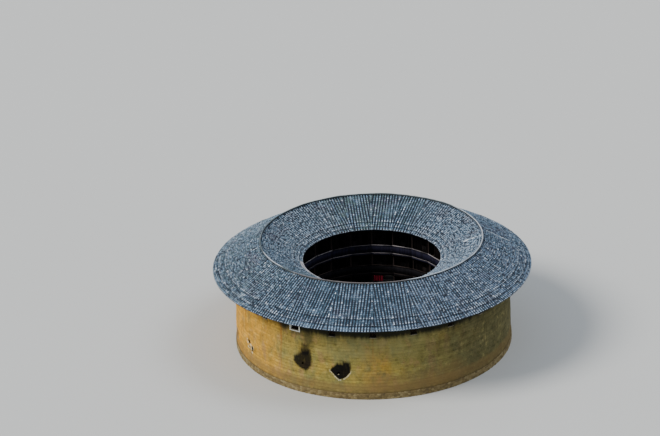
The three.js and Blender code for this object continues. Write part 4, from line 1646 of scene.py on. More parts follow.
@dataclass
class EarthWall:
    """The battered rammed-earth ring with its windows, low slot, flue holes, gateway and a broken patch.

    column and row are the spacing of its points, fine is the spacing near the broken patch, and a scar has an
    angle, a height, and half its width and height.
    """

    column: float = 0.30
    row: float = 0.16
    sill: float = 7.25
    head: float = 8.30
    window: float = 0.75
    wide_window: float = 1.10
    wide_line: int = 20
    gate_width: float = 2.40
    gate_passage: float = 1.90
    gate_top: float = 3.25
    slot: Hole = Hole(radians(-70.2), 0.65, 1.55, 2.70)
    flues: tuple[Hole, ...] = (
        Hole(radians(-21.2), 0.26, 3.37, 3.63),
        Hole(radians(-5.8), 0.26, 2.87, 3.13),
    )
    scars: tuple[tuple[float, float, float, float], ...] = (
        (radians(-54.4), 3.05, 0.40, 0.28),
        (radians(-54.5), 2.42, 0.20, 0.12),
        (radians(-51.3), 2.45, 0.24, 0.34),
    )
    scar_depth: float = 0.20
    fine: float = 0.07
    fine_angle: float = 0.08
    fine_heights: Span = (1.9, 3.4)
    lift: float = 0.38
    seed: int = 51

    def windows(self) -> list[Hole]:
        """The upper windows, one on each line between bays."""
        widths = [self.wide_window if i == self.wide_line else self.window for i in range(HOUSE.bays)]
        return [Hole(HOUSE.bay_line(i), width, self.sill, self.head) for i, width in enumerate(widths)]

    def lines(self, holes: list[Hole]) -> tuple[Array, Array, Array]:
        """Angles of the grid's upright lines on the outer and inner face, and heights of its level lines.

        A hole's sides are parallel, so its edges stand at different angles on the two faces, and the lines
        between holes are shared out evenly on both.

        Args:
            holes: every opening, the gateway included.

        Returns:
            Outer angles, inner angles and heights.
        """
        marks = []
        for hole in holes:
            width = self.gate_passage if hole.width == self.gate_width else hole.width
            inner, middle = math.asin(width / 2 / HOUSE.wall_inner), hole.angle % TURN
            marks += [(middle + s * hole.half_angle, middle + s * inner) for s in (-1, 0, 1)]
        for angle, _, across, _ in self.scars:
            marks += [((angle + s * across / 8) % TURN,) * 2 for s in (-1, 1)]
        marks = np.array(sorted(marks))
        following = np.roll(marks, -1, axis=0)
        following[-1] += TURN
        spans = []
        for start, stop in zip(marks, following, strict=True):
            gap = stop[0] - start[0]
            near = min(abs(wrapped(start[0] + gap / 2 - angle)) for angle, *_ in self.scars)
            count = round(gap * HOUSE.wall_face / (self.fine if near < self.fine_angle else self.column))
            spans.append(np.linspace(start, stop, max(1, count), endpoint=False))
        edges = np.unique(np.round([h for hole in holes for h in (hole.low, hole.high)], 4))
        ends, (low, high) = [HOUSE.footing_height, HOUSE.wall_top], self.fine_heights
        base = np.arange(*ends, self.row)
        base = np.union1d(base[(base < low) | (base > high)], np.arange(low, high, self.fine))
        clear = np.abs(base[:, None] - edges[None]).min(axis=1) > self.row * 0.3
        heights = np.unique(np.concatenate([base[clear], edges, ends]))
        return *np.concatenate(spans).T, heights[heights >= HOUSE.footing_height]

    def scar(self, angle: Array, height: Array) -> Array:
        """Where the face is broken: 1 in the holes, falling to 0 through the chipped plaster round them.

        It falls with the distance from a hole's middle, in half widths, frayed by noise.

        Args:
            angle: angles of the points.
            height: their heights.

        Returns:
            The numbers from 0 to 1.
        """
        worst = np.zeros(np.broadcast(angle, height).shape)
        fray = ripple(angle * 60, height * 3.2, self.seed + 3, 376) * 0.30
        for middle, level, across, tall in self.scars:
            turn = wrapped(angle - middle) * HOUSE.wall_face
            far = np.hypot(turn / across, (height - level) / tall) + fray
            worst = np.maximum(worst, np.clip((1.8 - far) / 1.1, 0.0, 1.0))
        return worst

    def outward(self, angle: Array, height: Array) -> Array:
        """How far the face strays from its batter: broad swells, lift ledges and rain-worn hollows.

        It is 0.035 and 0.012 times two noises, plus 0.006 sin(turns of the height in lifts), less the scars,
        all fading out over the lowest 0.15 m.

        Args:
            angle: angles of the points.
            height: their heights.

        Returns:
            The distances in metres.
        """
        swell = 0.035 * ripple(angle / TURN * 24, height * 0.35, self.seed, 24)
        rough = 0.012 * ripple(angle / TURN * 240, height * 2.2, self.seed + 1, 240)
        ledge = 0.006 * np.sin(height * TURN / self.lift)
        broken = self.scar_depth * np.clip(self.scar(angle, height) * 4 - 2.6, 0.0, 1.0)
        return (swell + rough + ledge - broken) * np.minimum((height - HOUSE.footing_height) / 0.15, 1.0)

    def build(self, material: Material) -> None:
        """Builds the wall as one thick sheet with holes.

        Args:
            material: the earth finish.
        """
        gate = Hole(math.pi, self.gate_width, HOUSE.footing_height, self.gate_top)
        holes = [*self.windows(), self.slot, *self.flues, gate]
        outer_angle, inner_angle, heights = self.lines(holes)
        angle, behind, z = outer_angle[:, None], inner_angle[:, None], heights[None, :]
        outer = polar(HOUSE.wall_outer(z) + self.outward(angle, z), angle, z)
        inner = polar(HOUSE.wall_inner + 0.01 * ripple(behind * 20, z, self.seed), behind, z)
        middle_angle = (outer_angle + np.append(outer_angle[1:], outer_angle[0] + TURN)) / 2
        middle_height = (heights[1:] + heights[:-1]) / 2
        present = np.ones((len(outer_angle), len(heights) - 1), bool)
        for hole in holes:
            across = np.abs(wrapped(middle_angle - hole.angle)) < hole.half_angle
            present &= ~(across[:, None] & ((middle_height > hole.low) & (middle_height < hole.high))[None])
        patch = shell(outer, inner, present, True)
        scar = self.scar(angle, z).ravel()
        patch.marks = {"scar": np.append(scar, np.zeros(scar.size))}
        Piece("rammed_wall", "rammed_earth", material, nodes_named("earth_wall"), 32.0).put(patch)


@dataclass
class WindowFittings:
    """Timber frames and bars set back in the upper windows, lime sills darkened as painted shade, and one
    broad lime surround.
    """

    wall: EarthWall
    set_back: float = 0.22
    frame_bar: float = 0.07
    frame_depth: float = 0.12
    bars: int = 5
    bar: float = 0.035
    slot_bar: float = 0.065
    slot_bars: int = 6
    lime_depth: float = 0.30
    lime_lap: float = 0.03

    def build(self, timber: Material, red: Material, lime: Material, worn: Material) -> None:
        """Puts the fittings of every window in as joined blocks.

        Args:
            timber: the frames' finish.
            red: the finish of the low window's timbers.
            lime: the broad surround's finish.
            worn: the sills' finish, lime darkened as painted shade.
        """
        windows, slot, flue = self.wall.windows(), self.wall.slot, self.wall.flues[1]
        frames, pale = [], []
        for hole in windows:
            half = (hole.width - self.frame_bar) / 2
            upright = (0.0, self.bar, self.bar, hole.tall - 2 * self.frame_bar)
            rows = hole.frame(self.frame_bar, self.frame_bar, self.frame_depth)
            rows += [(x, *upright) for x in np.linspace(-half, half, self.bars + 2)[1:-1]]
            frames.append(hole.blocks(self.set_back, rows, 0.4))
            sill = polar(HOUSE.wall_outer(hole.low) - 0.07, hole.angle, hole.low + 0.025)
            pale.append(boxes(sill, [hole.width - 0.01, 0.24, 0.045], hole.angle))
        below = polar(HOUSE.wall_outer(flue.low), flue.angle, flue.low - 0.02)
        lip = boxes(below, [0.17, 0.14, 0.06], flue.angle)
        at = np.linspace(-1, 1, self.slot_bars) * (slot.width / 2 - 0.035)
        upright = (0.0, self.slot_bar, self.slot_bar, slot.tall - 0.01)
        stout = slot.blocks(0.10, [(x, *upright) for x in at], at + 0.5)
        broad = self.surround(windows[self.wall.wide_line], 0.15, 0.035)
        for name, slot_name, material, smooth, patch in (
            ("window_frames", "old_timber", timber, None, gathered(frames)),
            ("window_sills", "lime_mortar", worn, None, gathered(pale)),
            ("flue_lip", "lime_mortar", worn, None, lip),
            ("slot_bars", "old_timber", red, None, stout),
            ("lime_window_surround", "lime_mortar", lime, 30.0, broad),
            ("slot_surround", "lime_mortar", worn, 30.0, self.surround(slot, 0.07, 0.015)),
        ):
            Piece(name, slot_name, material, (), smooth).put(patch)

    def surround(self, hole: Hole, margin: float, proud: float) -> Patch:
        """A flat band of lime round a hole: a frame whose inner edge turns into the reveal.

        Args:
            hole: the opening.
            margin: the band's width.
            proud: how far it stands off the wall.

        Returns:
            The band as a closed frame of four bars.
        """
        return hole.blocks(self.lime_depth / 2 - proud, hole.frame(self.lime_lap, margin, self.lime_depth))


@dataclass
class StoneFooting:
    """A low plinth of rough field stones: each stone bulges out of the joint lines round it.

    It is built in two halves that leave the gateway open, and the bulges fade out towards its sides.
    """

    rows_of_stones: int = 3
    stones_round: int = 300
    points_along: int = 2100
    points_up: int = 19
    bulge: float = 0.050
    face: float = 15.735
    back: float = 14.45
    outermost: float = 15.8
    batter: float = 0.02
    gateway: float = 2.4
    rounding: float = 0.06
    seed: int = 61

    def relief(self, angle: Array, height: Array) -> tuple[Array, Array]:
        """Stones as cells round scattered points: the bulge is the root of the distance to a joint.

        Args:
            angle: angles of the points, on a grid.
            height: their heights.

        Returns:
            The bulge from 0 to 1, and each stone's random tone.
        """
        rng = np.random.default_rng(self.seed)
        along = angle / TURN * self.stones_round
        up = height / HOUSE.footing_height * self.rows_of_stones
        jitter = rng.uniform(0.12, 0.88, (self.stones_round, self.rows_of_stones + 2, 2))
        tones = rng.random((self.stones_round, self.rows_of_stones + 2))
        nearest = np.full(np.broadcast(along, up).shape, 9.0)
        second, tone = nearest.copy(), np.zeros_like(nearest)
        column, row = np.floor(along).astype(int), np.floor(up).astype(int)
        for dx, dy in np.ndindex(3, 3):
            i, j = column + dx - 1, np.clip(row + dy - 1, -1, self.rows_of_stones) + 1
            seat = jitter[i % self.stones_round, j]
            gap = np.hypot(along - (i + seat[..., 0]), up - (j - 1 + seat[..., 1]))
            closer = gap < nearest
            second = np.where(closer, nearest, np.minimum(second, gap))
            tone = np.where(closer, tones[i % self.stones_round, j], tone)
            nearest = np.where(closer, gap, nearest)
        return np.sqrt(np.clip((second - nearest) / 0.55, 0, 1)), tone

    def build(self, material: Material) -> None:
        """Puts the two halves in.

        Args:
            material: the stone finish.
        """
        gate_half = math.asin(self.gateway / 2 / self.outermost)
        height = np.linspace(0, HOUSE.footing_height, self.points_up)[None]
        for side, start, stop in (("right", 0.0, math.pi - gate_half), ("left", math.pi + gate_half, TURN)):
            count = round(self.points_along * (stop - start) / TURN)
            angle = np.linspace(start, stop, count)[:, None]
            bulge, tone = self.relief(angle, height)
            ends = np.abs(np.abs(angle - math.pi) - gate_half) * self.outermost
            out = self.bulge * bulge * np.clip(ends / self.rounding, 0.0, 1.0)
            outer = polar(self.face + out - self.batter * height / HOUSE.footing_height, angle, height)
            solid = np.ones((count - 1, self.points_up - 1), bool)
            patch = shell(outer, polar(self.back, angle, height), solid, False)
            back = np.full(bulge.size, 0.5)
            patch.marks = {"crown": np.append(bulge.ravel(), back), "tone": np.append(tone.ravel(), back)}
            nodes = (f"stone_footing_{side}",)
            Piece(f"footing_stones_{side}", "footing_stone", material, nodes, 50.0).put(patch)


# Galleries and rooms


@dataclass
class Gallery:
    """Posts, beams, balustrades and brackets on the courtyard side.

    The brackets' arms run between two radii at a drop below the roof, and a brace is a quarter of an arc.
    """

    post_radius: float = 0.088
    board_width: float = 0.135
    board_height: float = 0.86
    board_gap: float = 0.008
    rail_height: float = 1.05
    arm: Span = (9.6, 7.98)
    arm_under: float = 8.25
    arm_drop: float = 0.40
    brace_foot: float = 8.66
    brace_reach: float = 0.55
    brace_drop: float = 0.62
    brace_rise: float = 0.58
    brace_parts: int = 6
    purlin: Span = (8.02, 0.105)
    seed: int = 71

    def bay_run(self, line_radius: float) -> tuple[Array, Array]:
        """Ends of the 22 straight runs between posts at a radius."""
        index = np.arange(HOUSE.bays)
        return tuple(polar(line_radius, HOUSE.bay_line(i), 0.0) for i in (index - 1, index))

    def posts(self, storey: int, foot: float, top: float) -> Patch:
        """Tapered round posts on the lines between bays."""
        starts, ends = (polar(HOUSE.post_lines[storey], HOUSE.all_lines(), z) for z in (foot, top))
        taper = self.post_radius * np.array([1.0, 1.03, 1.0, 0.96, 0.92])
        return logs(starts, ends, taper, 12, self.seed + storey, 0.012)

    def ring_beam(self, radius: float, low: float, tall: float, deep: float, seed: int) -> Patch:
        """Square timbers from post to post."""
        start, end = (run + [0, 0, low + tall / 2] for run in self.bay_run(radius))
        return beams(start, end, deep, tall, np.random.default_rng(seed).random(HOUSE.bays))

    def balustrade_boards(self, floor: float, radius: float, seed: int) -> Patch:
        """Upright boards in every bay, each a little out of line with its neighbours.

        Args:
            floor: the floor's height.
            radius: radius of the boards' line where bays meet.
            seed: for the place, height and tone of each.

        Returns:
            The boards as one patch.
        """
        rng = np.random.default_rng(seed)
        start, end = self.bay_run(radius)
        length = np.linalg.norm(end[0] - start[0])
        count = round(length / self.board_width)
        part = (np.arange(count) + 0.5) / count
        spot = start[:, None] + (end - start)[:, None] * part[None, :, None]
        angle = np.repeat(np.arange(HOUSE.bays) * HOUSE.bay, count)
        n = len(angle)
        centre = spot.reshape(-1, 3) + polar(rng.uniform(-0.008, 0.008, n), angle, 0.0)
        tall = self.board_height + rng.uniform(-0.01, 0.01, n)
        centre[:, 2] = floor + 0.06 + tall / 2
        sizes = np.stack([np.full(n, length / count - self.board_gap), np.full(n, 0.022), tall], 1)
        return boxes(centre, sizes, angle, rng.random(n))

    def brackets(self) -> Patch:
        """Short beams and curved braces that reach in from the top posts to the inner eave.

        A brace's radius is its foot less its reach times sin(t pi / 2)^1.4, and it rises evenly with t.
        """
        line = HOUSE.all_lines()
        level = float(HOUSE.roof(self.arm_under)) - self.arm_drop
        arms = logs(*(polar(r, line, level) for r in self.arm), (0.07, 0.075, 0.065), 8, self.seed + 9)
        t = np.linspace(0, 1, self.brace_parts + 1)[None]
        radius = self.brace_foot - self.brace_reach * np.sin(t * np.pi / 2) ** 1.4
        path = polar(radius, line[:, None], level - self.brace_drop + self.brace_rise * t)
        braces = [beams(path[:, i], path[:, i + 1], 0.05, 0.10) for i in range(self.brace_parts)]
        ring = polar(self.purlin[0], line, level + self.purlin[1])
        purlin = logs(ring, np.roll(ring, -1, axis=0), (0.06, 0.065, 0.06), 8, self.seed + 8)
        return gathered([arms, purlin, *braces])

    def build(self, post: Material, planks: tuple[Material, ...], rails: tuple[Material, ...]) -> None:
        """Puts the three storeys of posts and the two balustrades in.

        Args:
            post: finish of posts and beams.
            planks: finishes of the balustrade boards on the second and the third floor, both darkened as
                painted shade.
            rails: finishes of the rails and floor edges on the second and the third floor; the second floor's
                is darkened as painted shade.
        """
        for storey, (label, top) in enumerate(storey_tops(HOUSE.post_lines[2], 0.21)):
            beam = self.ring_beam(HOUSE.post_lines[storey], top - 0.2, 0.19, 0.13, self.seed + storey)
            parts = [self.posts(storey, HOUSE.floors[storey] + 0.002, top - 0.02), beam]
            if storey == 2:
                parts.append(self.brackets())
            Piece(f"{label}_colonnade", "old_timber", post, (f"{label}_posts",), 40.0).put(gathered(parts))
        for storey, label in ((1, "second_floor"), (2, "third_floor")):
            plank, rail = planks[storey - 1], rails[storey - 1]
            floor, edge = HOUSE.floors[storey], HOUSE.deck_edges[storey - 1]
            inside = HOUSE.post_lines[storey] - 0.14
            handrail = self.ring_beam(inside, floor + self.rail_height - 0.06, 0.05, 0.08, self.seed + 30)
            kerb = self.ring_beam(edge - 0.02, floor - 0.02, 0.065, 0.04, self.seed + 32)
            trim = self.ring_beam(edge - 0.03, floor + 0.87, 0.05, 0.045, self.seed + 31)
            fascia = self.ring_beam(edge - 0.012, floor - 0.22, 0.15, 0.03, self.seed + 33)
            boards = self.balustrade_boards(floor, edge - 0.035, self.seed + 20 + storey)
            for name, finish, nodes, patch in (
                ("balustrade_boards", plank, (f"{label}_balustrade",), boards),
                ("rails", rail, (), gathered([handrail, kerb])),
                ("fascia", plank, (), gathered([trim, fascia])),
            ):
                Piece(f"{label}_{name}", "weathered_timber", finish, nodes, None).put(patch)


def storey_tops(radius: float, drop: float) -> list[tuple[str, float]]:
    """Each storey's name and where its timbers end: under the deck over it, or a drop below the roof."""
    tops = (HOUSE.deck_under(0), HOUSE.deck_under(1), float(HOUSE.roof(radius)) - drop)
    return list(zip(("ground", "second_floor", "third_floor"), tops, strict=True))


@dataclass
class RoomFronts:
    """Plank fronts of the rooms, with a door and a barred window in every bay."""

    board: float = 0.19
    door: Span = (-0.99, -0.21)
    door_height: float = 1.9
    window: Span = (0.20, 0.90)
    window_heights: Span = (1.0, 1.8)
    hall: Span = (-1.1, 1.1)
    hall_height: float = 2.7
    casing: float = 0.07
    seed: int = 91

    def storey(self, floor: float, top: float, hall_bay: int | None, seed: int) -> Patch:
        """Boards of one storey: each runs from floor to top, or stops below and starts above an opening.

        Args:
            floor: the floor's height.
            top: where the boards end.
            hall_bay: the bay with the wide entrance hall, if any.
            seed: for the tone and place of each board.

        Returns:
            The boards, posts, sills and bars as one patch.
        """
        rng = np.random.default_rng(seed)
        width = 2 * HOUSE.room_front * math.sin(HOUSE.bay / 2)
        flat = HOUSE.room_front * math.cos(HOUSE.bay / 2)
        count = round(width / self.board)
        spacing, casing = width / count, self.casing
        rows = []
        for bay in range(HOUSE.bays):
            facing = bay * HOUSE.bay
            holes = [(*self.door, 0.0, self.door_height), (*self.window, *self.window_heights)]
            if bay == hall_bay:
                holes = [(*self.hall, 0.0, self.hall_height)]
            for x in (np.arange(count) + 0.5) * spacing - width / 2:
                runs = [(0.0, top - floor)]
                for left, right, low, high in holes:
                    if left < x < right:
                        parts = [part for a, b in runs for part in ((a, min(b, low)), (max(a, high), b))]
                        runs = [(a, b) for a, b in parts if b - a > 0.02]
                wide = spacing - 0.006
                rows += [(x, floor + (a + b) / 2, wide, 0.03, b - a - 0.004, facing) for a, b in runs]
            for left, right, low, high in holes:
                x, z, tall = (left + right) / 2, floor + (low + high) / 2, high - low
                wide = right - left + 2 * casing
                rows += [(edge, z, casing, 0.08, tall + casing, facing) for edge in (left, right)]
                rows.append((x, floor + high + casing / 2, wide, 0.085, casing, facing))
                if low > 0:
                    rows.append((x, floor + low - casing / 2, wide, 0.10, casing, facing))
                    rows += [(bar, z, 0.03, 0.03, tall, facing) for bar in np.linspace(left, right, 9)[1:-1]]
        x, z, *sizes, angle = np.array(rows).T
        centre = polar(flat + rng.uniform(-0.006, 0.006, len(rows)), angle, z) + x[:, None] * sideways(angle)
        return boxes(centre, np.stack(sizes, 1), angle, rng.random(len(rows)))

    def build(self, material: Material) -> None:
        """Puts the three storeys in.

        Args:
            material: the planks' finish, near-black as painted shade.
        """
        halls = (HOUSE.bays // 2, None, None)
        tops = storey_tops(HOUSE.room_front, 0.17)
        for (label, top), floor, hall in zip(tops, HOUSE.floors, halls, strict=True):
            patch = self.storey(floor + 0.002, top, hall, self.seed + round(floor))
            nodes = nodes_named(f"{label}_room_front")
            Piece(f"{label}_room_planks", "old_timber", material, nodes, None).put(patch)


# Courtyard and gate


@dataclass
class CourtyardPaving:
    """Cobbles laid in rings round a flat centre slab: a polar grid of rounded stones."""

    radius: float = 8.38
    top: float = 0.115
    joint: float = 0.018
    dome: float = 0.014
    rings: int = 27
    points_out: int = 110
    points_round: int = 660
    centre: float = 0.002
    seed: int = 101

    def build(self, material: Material) -> None:
        """Raises each cobble from its joints by dome times (1 - cell distance to the fourth power).

        Args:
            material: the cobble finish.
        """
        bay, rng = HOUSE.bay, np.random.default_rng(self.seed)
        angle = np.linspace(0, TURN, self.points_round, endpoint=False)[:, None]
        edge = self.radius * math.cos(bay / 2) / np.cos((angle + bay / 2) % bay - bay / 2)
        radius = np.linspace(self.centre, 1, self.points_out)[None] * edge
        ring = radius / self.radius * self.rings
        index = np.floor(ring).astype(int)
        stones = np.maximum(8, (index + 0.5) * 6).astype(int)
        along = angle / TURN * stones + (index % 2) * 0.5
        cell = np.floor(along).astype(int) % stones
        u, v = (along - np.floor(along)) * 2 - 1, (ring - index) * 2 - 1
        tone = rng.random((self.rings + 1, 400))[np.clip(index, 0, self.rings), cell % 400]
        dome = np.clip(1 - np.maximum(np.abs(u), np.abs(v)) ** 4, 0, 1)
        level = self.top - self.joint
        height = level + self.dome * dome * (0.6 + 0.4 * tone)
        top = sheet(polar(radius, angle, height), wrap=True).flipped()
        side = sheet(polar(edge, angle, np.array([[0.0, level]])), wrap=True)
        bottom = sheet(polar(edge * [[1.0, self.centre]], angle, 0.0), wrap=True)
        whole = gathered([top, side, bottom])
        Piece("courtyard_cobbles", "paving_stone", material, ("courtyard_paving",), 50.0).put(whole)


@dataclass
class Gate:
    """The gateway: granite jambs and lintel in blocks, a threshold and two studded plank leaves.

    courses are the heights where a jamb's inner joints lie, and leaf_reach the radii between which an open
    leaf stands.
    """

    clear: float = 1.7
    height: float = 2.6
    jamb: float = 0.35
    lintel: float = 0.35
    back: float = 15.4
    front: float = 15.87
    joint: float = 0.016
    inset: float = 0.006
    courses: tuple[float, float, float] = (0.95, 1.62, 2.3)
    leaf_side: float = 0.9
    leaf_reach: Span = (14.55, 15.3995)
    leaf_height: float = 2.63
    planks: int = 6
    ledges: tuple[float, float, float] = (0.25, 1.3, 2.35)
    studs_in_row: int = 7
    bevel: float = 0.012
    seed: int = 111

    def surround(self) -> Patch:
        """Jamb blocks of uneven height, and a lintel across them."""
        rng = np.random.default_rng(self.seed)
        depth = self.front - self.back - self.inset
        floor = HOUSE.floors[0]
        edges = [0.0, floor, *self.courses, floor + self.height]
        rows = [
            (side * (self.clear + self.jamb) / 2, (low + high) / 2, self.jamb - self.inset,
             depth - rng.uniform(0, 0.03), high - low - self.joint, rng.random())
            for side in (-1, 1) for low, high in zip(edges[:-1], edges[1:], strict=True)
        ]
        rows.append((0.0, floor + self.height + self.lintel / 2, self.clear + 2 * self.jamb - 0.004,
                     depth, self.lintel - self.joint, 0.6))
        x, z, *sizes, tones = np.array(rows).T
        y = np.full(len(rows), (self.front + self.back) / 2 - 0.003)
        blocks = boxes(np.stack([x, y, z], 1), np.stack(sizes, 1), 0.0, tones)
        blocks.marks["crown"] = np.ones(len(blocks.points))
        return blocks

    def leaf(self, side: int) -> tuple[Patch, Patch]:
        """One leaf of planks and ledges, with level rows of domed iron studs, a low cone frustum each.

        Args:
            side: -1 for the right leaf, 1 for the left.

        Returns:
            The leaf's timber, and its studs.
        """
        rng = np.random.default_rng(self.seed + side)
        x, (low, high) = side * self.leaf_side, self.leaf_reach
        count, width = self.planks, (high - low) / self.planks
        base = HOUSE.floors[0] + 0.003
        levels = base + np.array(self.ledges)
        spots = [(x, low + (k + 0.5) * width, base + self.leaf_height / 2) for k in range(count)]
        planks = boxes(np.array(spots), [0.05, width - 0.005, self.leaf_height], 0.0, rng.random(count))
        spots = [(x + side * 0.033, (low + high) / 2, level) for level in levels]
        ledges = boxes(np.array(spots), [0.014, high - low - 0.02, 0.12], 0.0, rng.random(len(levels)))
        y, z = np.meshgrid(np.linspace(low + 0.08, high - 0.08, self.studs_in_row), levels)
        start = np.stack([np.full(y.size, x - side * 0.021), y.ravel(), z.ravel()], 1)
        studs = logs(start, start - [side * 0.014, 0, 0], (0.019, 0.017, 0.008), 8, self.seed, 0.0)
        return gathered([planks, ledges]), studs

    def build(self, stone: Material, timber: Material) -> None:
        """Puts the surround and both leaves in.

        Args:
            stone: the granite finish.
            timber: the leaves' finish.
        """
        piece = Piece("gate_blocks", "gate_stone", stone, ("gate_surround",), None).put(self.surround())
        bevel = piece.modifiers.new("worn_edges", "BEVEL")
        bevel.width = self.bevel
        bevel.segments = 2
        bevel.limit_method = "ANGLE"
        for side, label in ((-1, "right"), (1, "left")):
            planks, studs = self.leaf(side)
            Piece(f"gate_planks_{label}", "old_timber", timber, (f"gate_leaf_{label}",), None).put(planks)
            Piece(f"gate_studs_{label}", "old_timber", timber, (), 50.0).put(studs)


@dataclass
class LanternRow:
    """Long red lanterns hung from a pole: a ribbed profile turned round each upright line."""

    count: int = 4
    first: float = -0.17
    pitch: float = -0.29
    radius: float = 0.118
    height: float = 0.755
    cap: float = 0.03
    overhang: float = 0.11
    sides: int = 48
    levels: int = 28

    def build(self, cloth: Material, timber: Material) -> None:
        """Turns the profile, whose radius swells between caps and is pinched a little between ribs.

        It is 0.46 + 0.52 (1 - (2 t - 1)^6)^0.7 times 1 - 0.035 |sin 6 a| of the full radius.

        Args:
            cloth: the red finish.
            timber: the pole's finish, near-black as painted shade.
        """
        away = HOUSE.post_lines[0] * math.cos(HOUSE.bay / 2)
        top = HOUSE.deck_under(0) - 0.2
        low = top - 0.025 - self.height
        turn = np.linspace(0, TURN, self.sides, endpoint=False)[:, None]
        t = np.linspace(0, 1, self.levels)[None]
        swell = np.clip(1 - (2 * t - 1) ** 6, 0, None) ** 0.7 * 0.52 + 0.46
        radius = self.radius * swell * (1 - 0.035 * np.abs(np.sin(turn * 6)))
        ring = (radius * np.cos(turn), radius * np.sin(turn))
        shape = np.stack(np.broadcast_arrays(*ring, t * self.height), -1)
        feet = [np.array([self.first + self.pitch * i, away, low]) for i in range(self.count)]
        bodies = [sheet(shape + foot, {"tone": 0.5}, wrap=True) for foot in feet]
        caps = [
            logs(foot + [0, 0, at], foot + [0, 0, at + self.cap], (0.056, 0.058), 20, i, 0.0)
            for i, foot in enumerate(feet) for at in (0.0, self.height - self.cap)
        ]
        ends = (feet[-1][0] - self.overhang, self.first + self.overhang)
        pole = logs(*(np.array([x, away, top - 0.021]) for x in ends), (0.018, 0.018), 10, 3, 0.0)
        Piece("red_lanterns", "lantern_cloth", cloth, ("lantern_row",), 60.0).put(gathered(bodies))
        Piece("lantern_pole", "old_timber", timber, (), 40.0).put(gathered([pole, *caps]))


def dress_nodes(names: tuple[str, ...], material: Material) -> None:
    """Gives frame nodes that keep their own shape a finish.

    Args:
        names: the nodes.
        material: the finish.
    """
    for name in names:
        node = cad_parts[name]
        node.data.materials.clear()
        node.data.materials.append(material)


# Studio


def upright_turn(angle: float) -> Array:
    """The matrix of a turn about the third axis."""
    c, s = math.cos(angle), math.sin(angle)
    return np.array([[c, -s, 0], [s, c, 0], [0, 0, 1]])


@dataclass(frozen=True)
class Sun:
    """One far lamp: its strength, the angle it spans in the sky, its colour and its turn, in degrees."""

    name: str
    energy: float
    spread: float
    colour: Rgb
    turn: tuple[float, float, float]


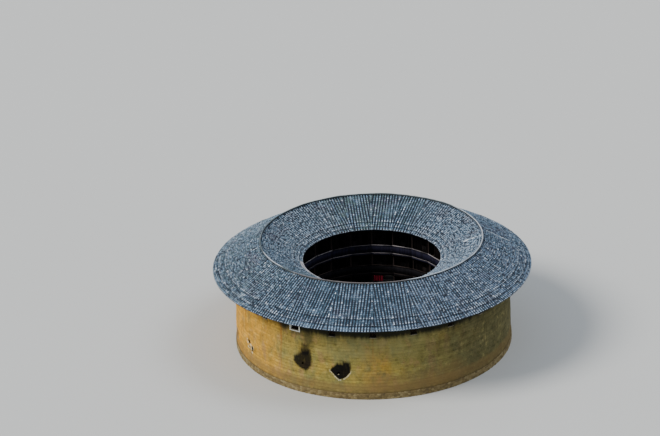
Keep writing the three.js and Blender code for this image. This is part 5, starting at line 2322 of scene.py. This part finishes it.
@dataclass
class Studio:
    """Pale floor, soft light and the camera at the photograph's view; its angles are in degrees."""

    focal_pixels: float = 2053.0
    image_width: float = 660.0
    pitch: float = 23.10
    roll: float = -2.0
    heading: float = 9.8
    across: float = 4.55
    ahead: float = 211.40
    above_eave: float = 95.59
    eave_height: float = 9.3
    sensor: float = 36.0
    floor_radius: float = 900.0
    sky: Rgb = (0.80, 0.88, 1.0)
    sky_strength: float = 0.52
    suns: tuple[Sun, ...] = (
        Sun("key", 3.2, 24, (1.0, 0.97, 0.92), (48, 0, -62)),
        Sun("fill", 0.9, 30, (0.90, 0.95, 1.0), (33, 0, 100)),
    )

    @staticmethod
    def placed(name: str, data: bpy.types.ID) -> bpy.types.Object:
        """A new object in the scene."""
        made = bpy.data.objects.new(name, data)
        bpy.context.scene.collection.objects.link(made)
        return made

    def camera(self) -> None:
        """Turns level axes by the pitch, then the roll, then the heading, and makes them the camera's."""
        data = bpy.data.cameras.new("view")
        data.sensor_width = self.sensor
        data.lens = self.focal_pixels * self.sensor / self.image_width
        data.clip_start, data.clip_end = 1.0, 3000.0
        pitch, to_world = radians(self.pitch), upright_turn(radians(self.heading))
        right, forward = np.array([1.0, 0, 0]), np.array([0, math.cos(pitch), -math.sin(pitch)])
        level = np.stack([right, np.cross(forward, right), forward])
        axes = (upright_turn(radians(self.roll)) @ level @ to_world.T).T
        matrix = np.eye(4)
        matrix[:3, :3] = axes * [1, -1, -1]
        matrix[:3, 3] = to_world @ [-self.across, -self.ahead, self.eave_height + self.above_eave]
        camera = self.placed("view", data)
        camera.matrix_world = Matrix(matrix.tolist())
        bpy.context.scene.camera = camera

    def floor(self) -> None:
        """A wide pale disc that counts as stage."""
        tree = Tree("studio_floor")
        shade = tree.noise(0.02, 2.0)
        material = tree.finish(tree.mix(shade * 0.15, (0.62, 0.62, 0.60), (0.55, 0.55, 0.54)), 0.95)
        angle = np.linspace(0, TURN, 96, endpoint=False)
        mesh = bpy.data.meshes.new("studio_floor")
        mesh.from_pydata(polar(self.floor_radius, angle, -0.004).tolist(), [], [list(range(96))])
        mesh.materials.append(material)
        self.placed("studio_floor", mesh)

    def lights(self) -> None:
        """A broad soft sun from the left, a weak one from the right, and a pale even sky."""
        for sun in self.suns:
            light = bpy.data.lights.new(sun.name, "SUN")
            light.energy = sun.energy
            light.angle = radians(sun.spread)
            light.color = sun.colour
            self.placed(sun.name, light).rotation_euler = [radians(turn) for turn in sun.turn]
        world = bpy.data.worlds.new("sky")
        world.use_nodes = True
        back = world.node_tree.nodes["Background"]
        back.inputs["Color"].default_value = (*self.sky, 1.0)
        back.inputs["Strength"].default_value = self.sky_strength
        bpy.context.scene.world = world

    def build(self) -> None:
        """Makes the camera, the floor and the lights."""
        self.camera()
        self.floor()
        self.lights()


def main() -> None:
    """Builds the studio and every sub-assembly in order."""
    logging.basicConfig(level=logging.INFO, format="%(message)s")
    Studio().build()
    tile = RoofTile().material()
    # The rooms, the lantern pole, the balustrades and the second floor's rails carry painted shade.
    dark, eave = SHADE_DARK_TIMBER.material(), EAVE_TIMBER.material()
    planks = (SHADE_BLACK_TIMBER.material(), NAVY_SHADE_TIMBER.material())
    rails = (SHADED_RAIL_TIMBER.material(), BLEACHED_TIMBER.material())
    TileSlope(Slope.OUTER, 16).build(tile)
    TileSlope(Slope.INNER, 11, seed=211, bands=((0.44, 0.045), (1.02, 0.035))).build(tile)
    RidgeCap().build(RidgeLime().material())
    EaveTimbers().build(eave)
    wall = EarthWall()
    wall.build(RammedEarth().material())
    WindowFittings(wall).build(eave, RED_TIMBER.material(), WINDOW_LIME.material(), SHADED_SILL_LIME.material())
    StoneFooting().build(FIELD_STONE.material())
    Gallery().build(POST_TIMBER.material(), planks, rails)
    RoomFronts().build(dark)
    paving = CourtyardPaving()
    paving.build(Cobbles(paving.radius / paving.rings).material())
    Gate().build(GATE_STONE.material(), eave)
    LanternRow().build(LanternCloth().material(), dark)
    dress_nodes(("second_floor", "third_floor"), FloorBoards().material())
    dress_nodes(("ground_floor",), GroundFloor().material())
    dress_nodes(("gate_sill",), SILL_STONE.material())


if __name__ == "__main__":
    main()
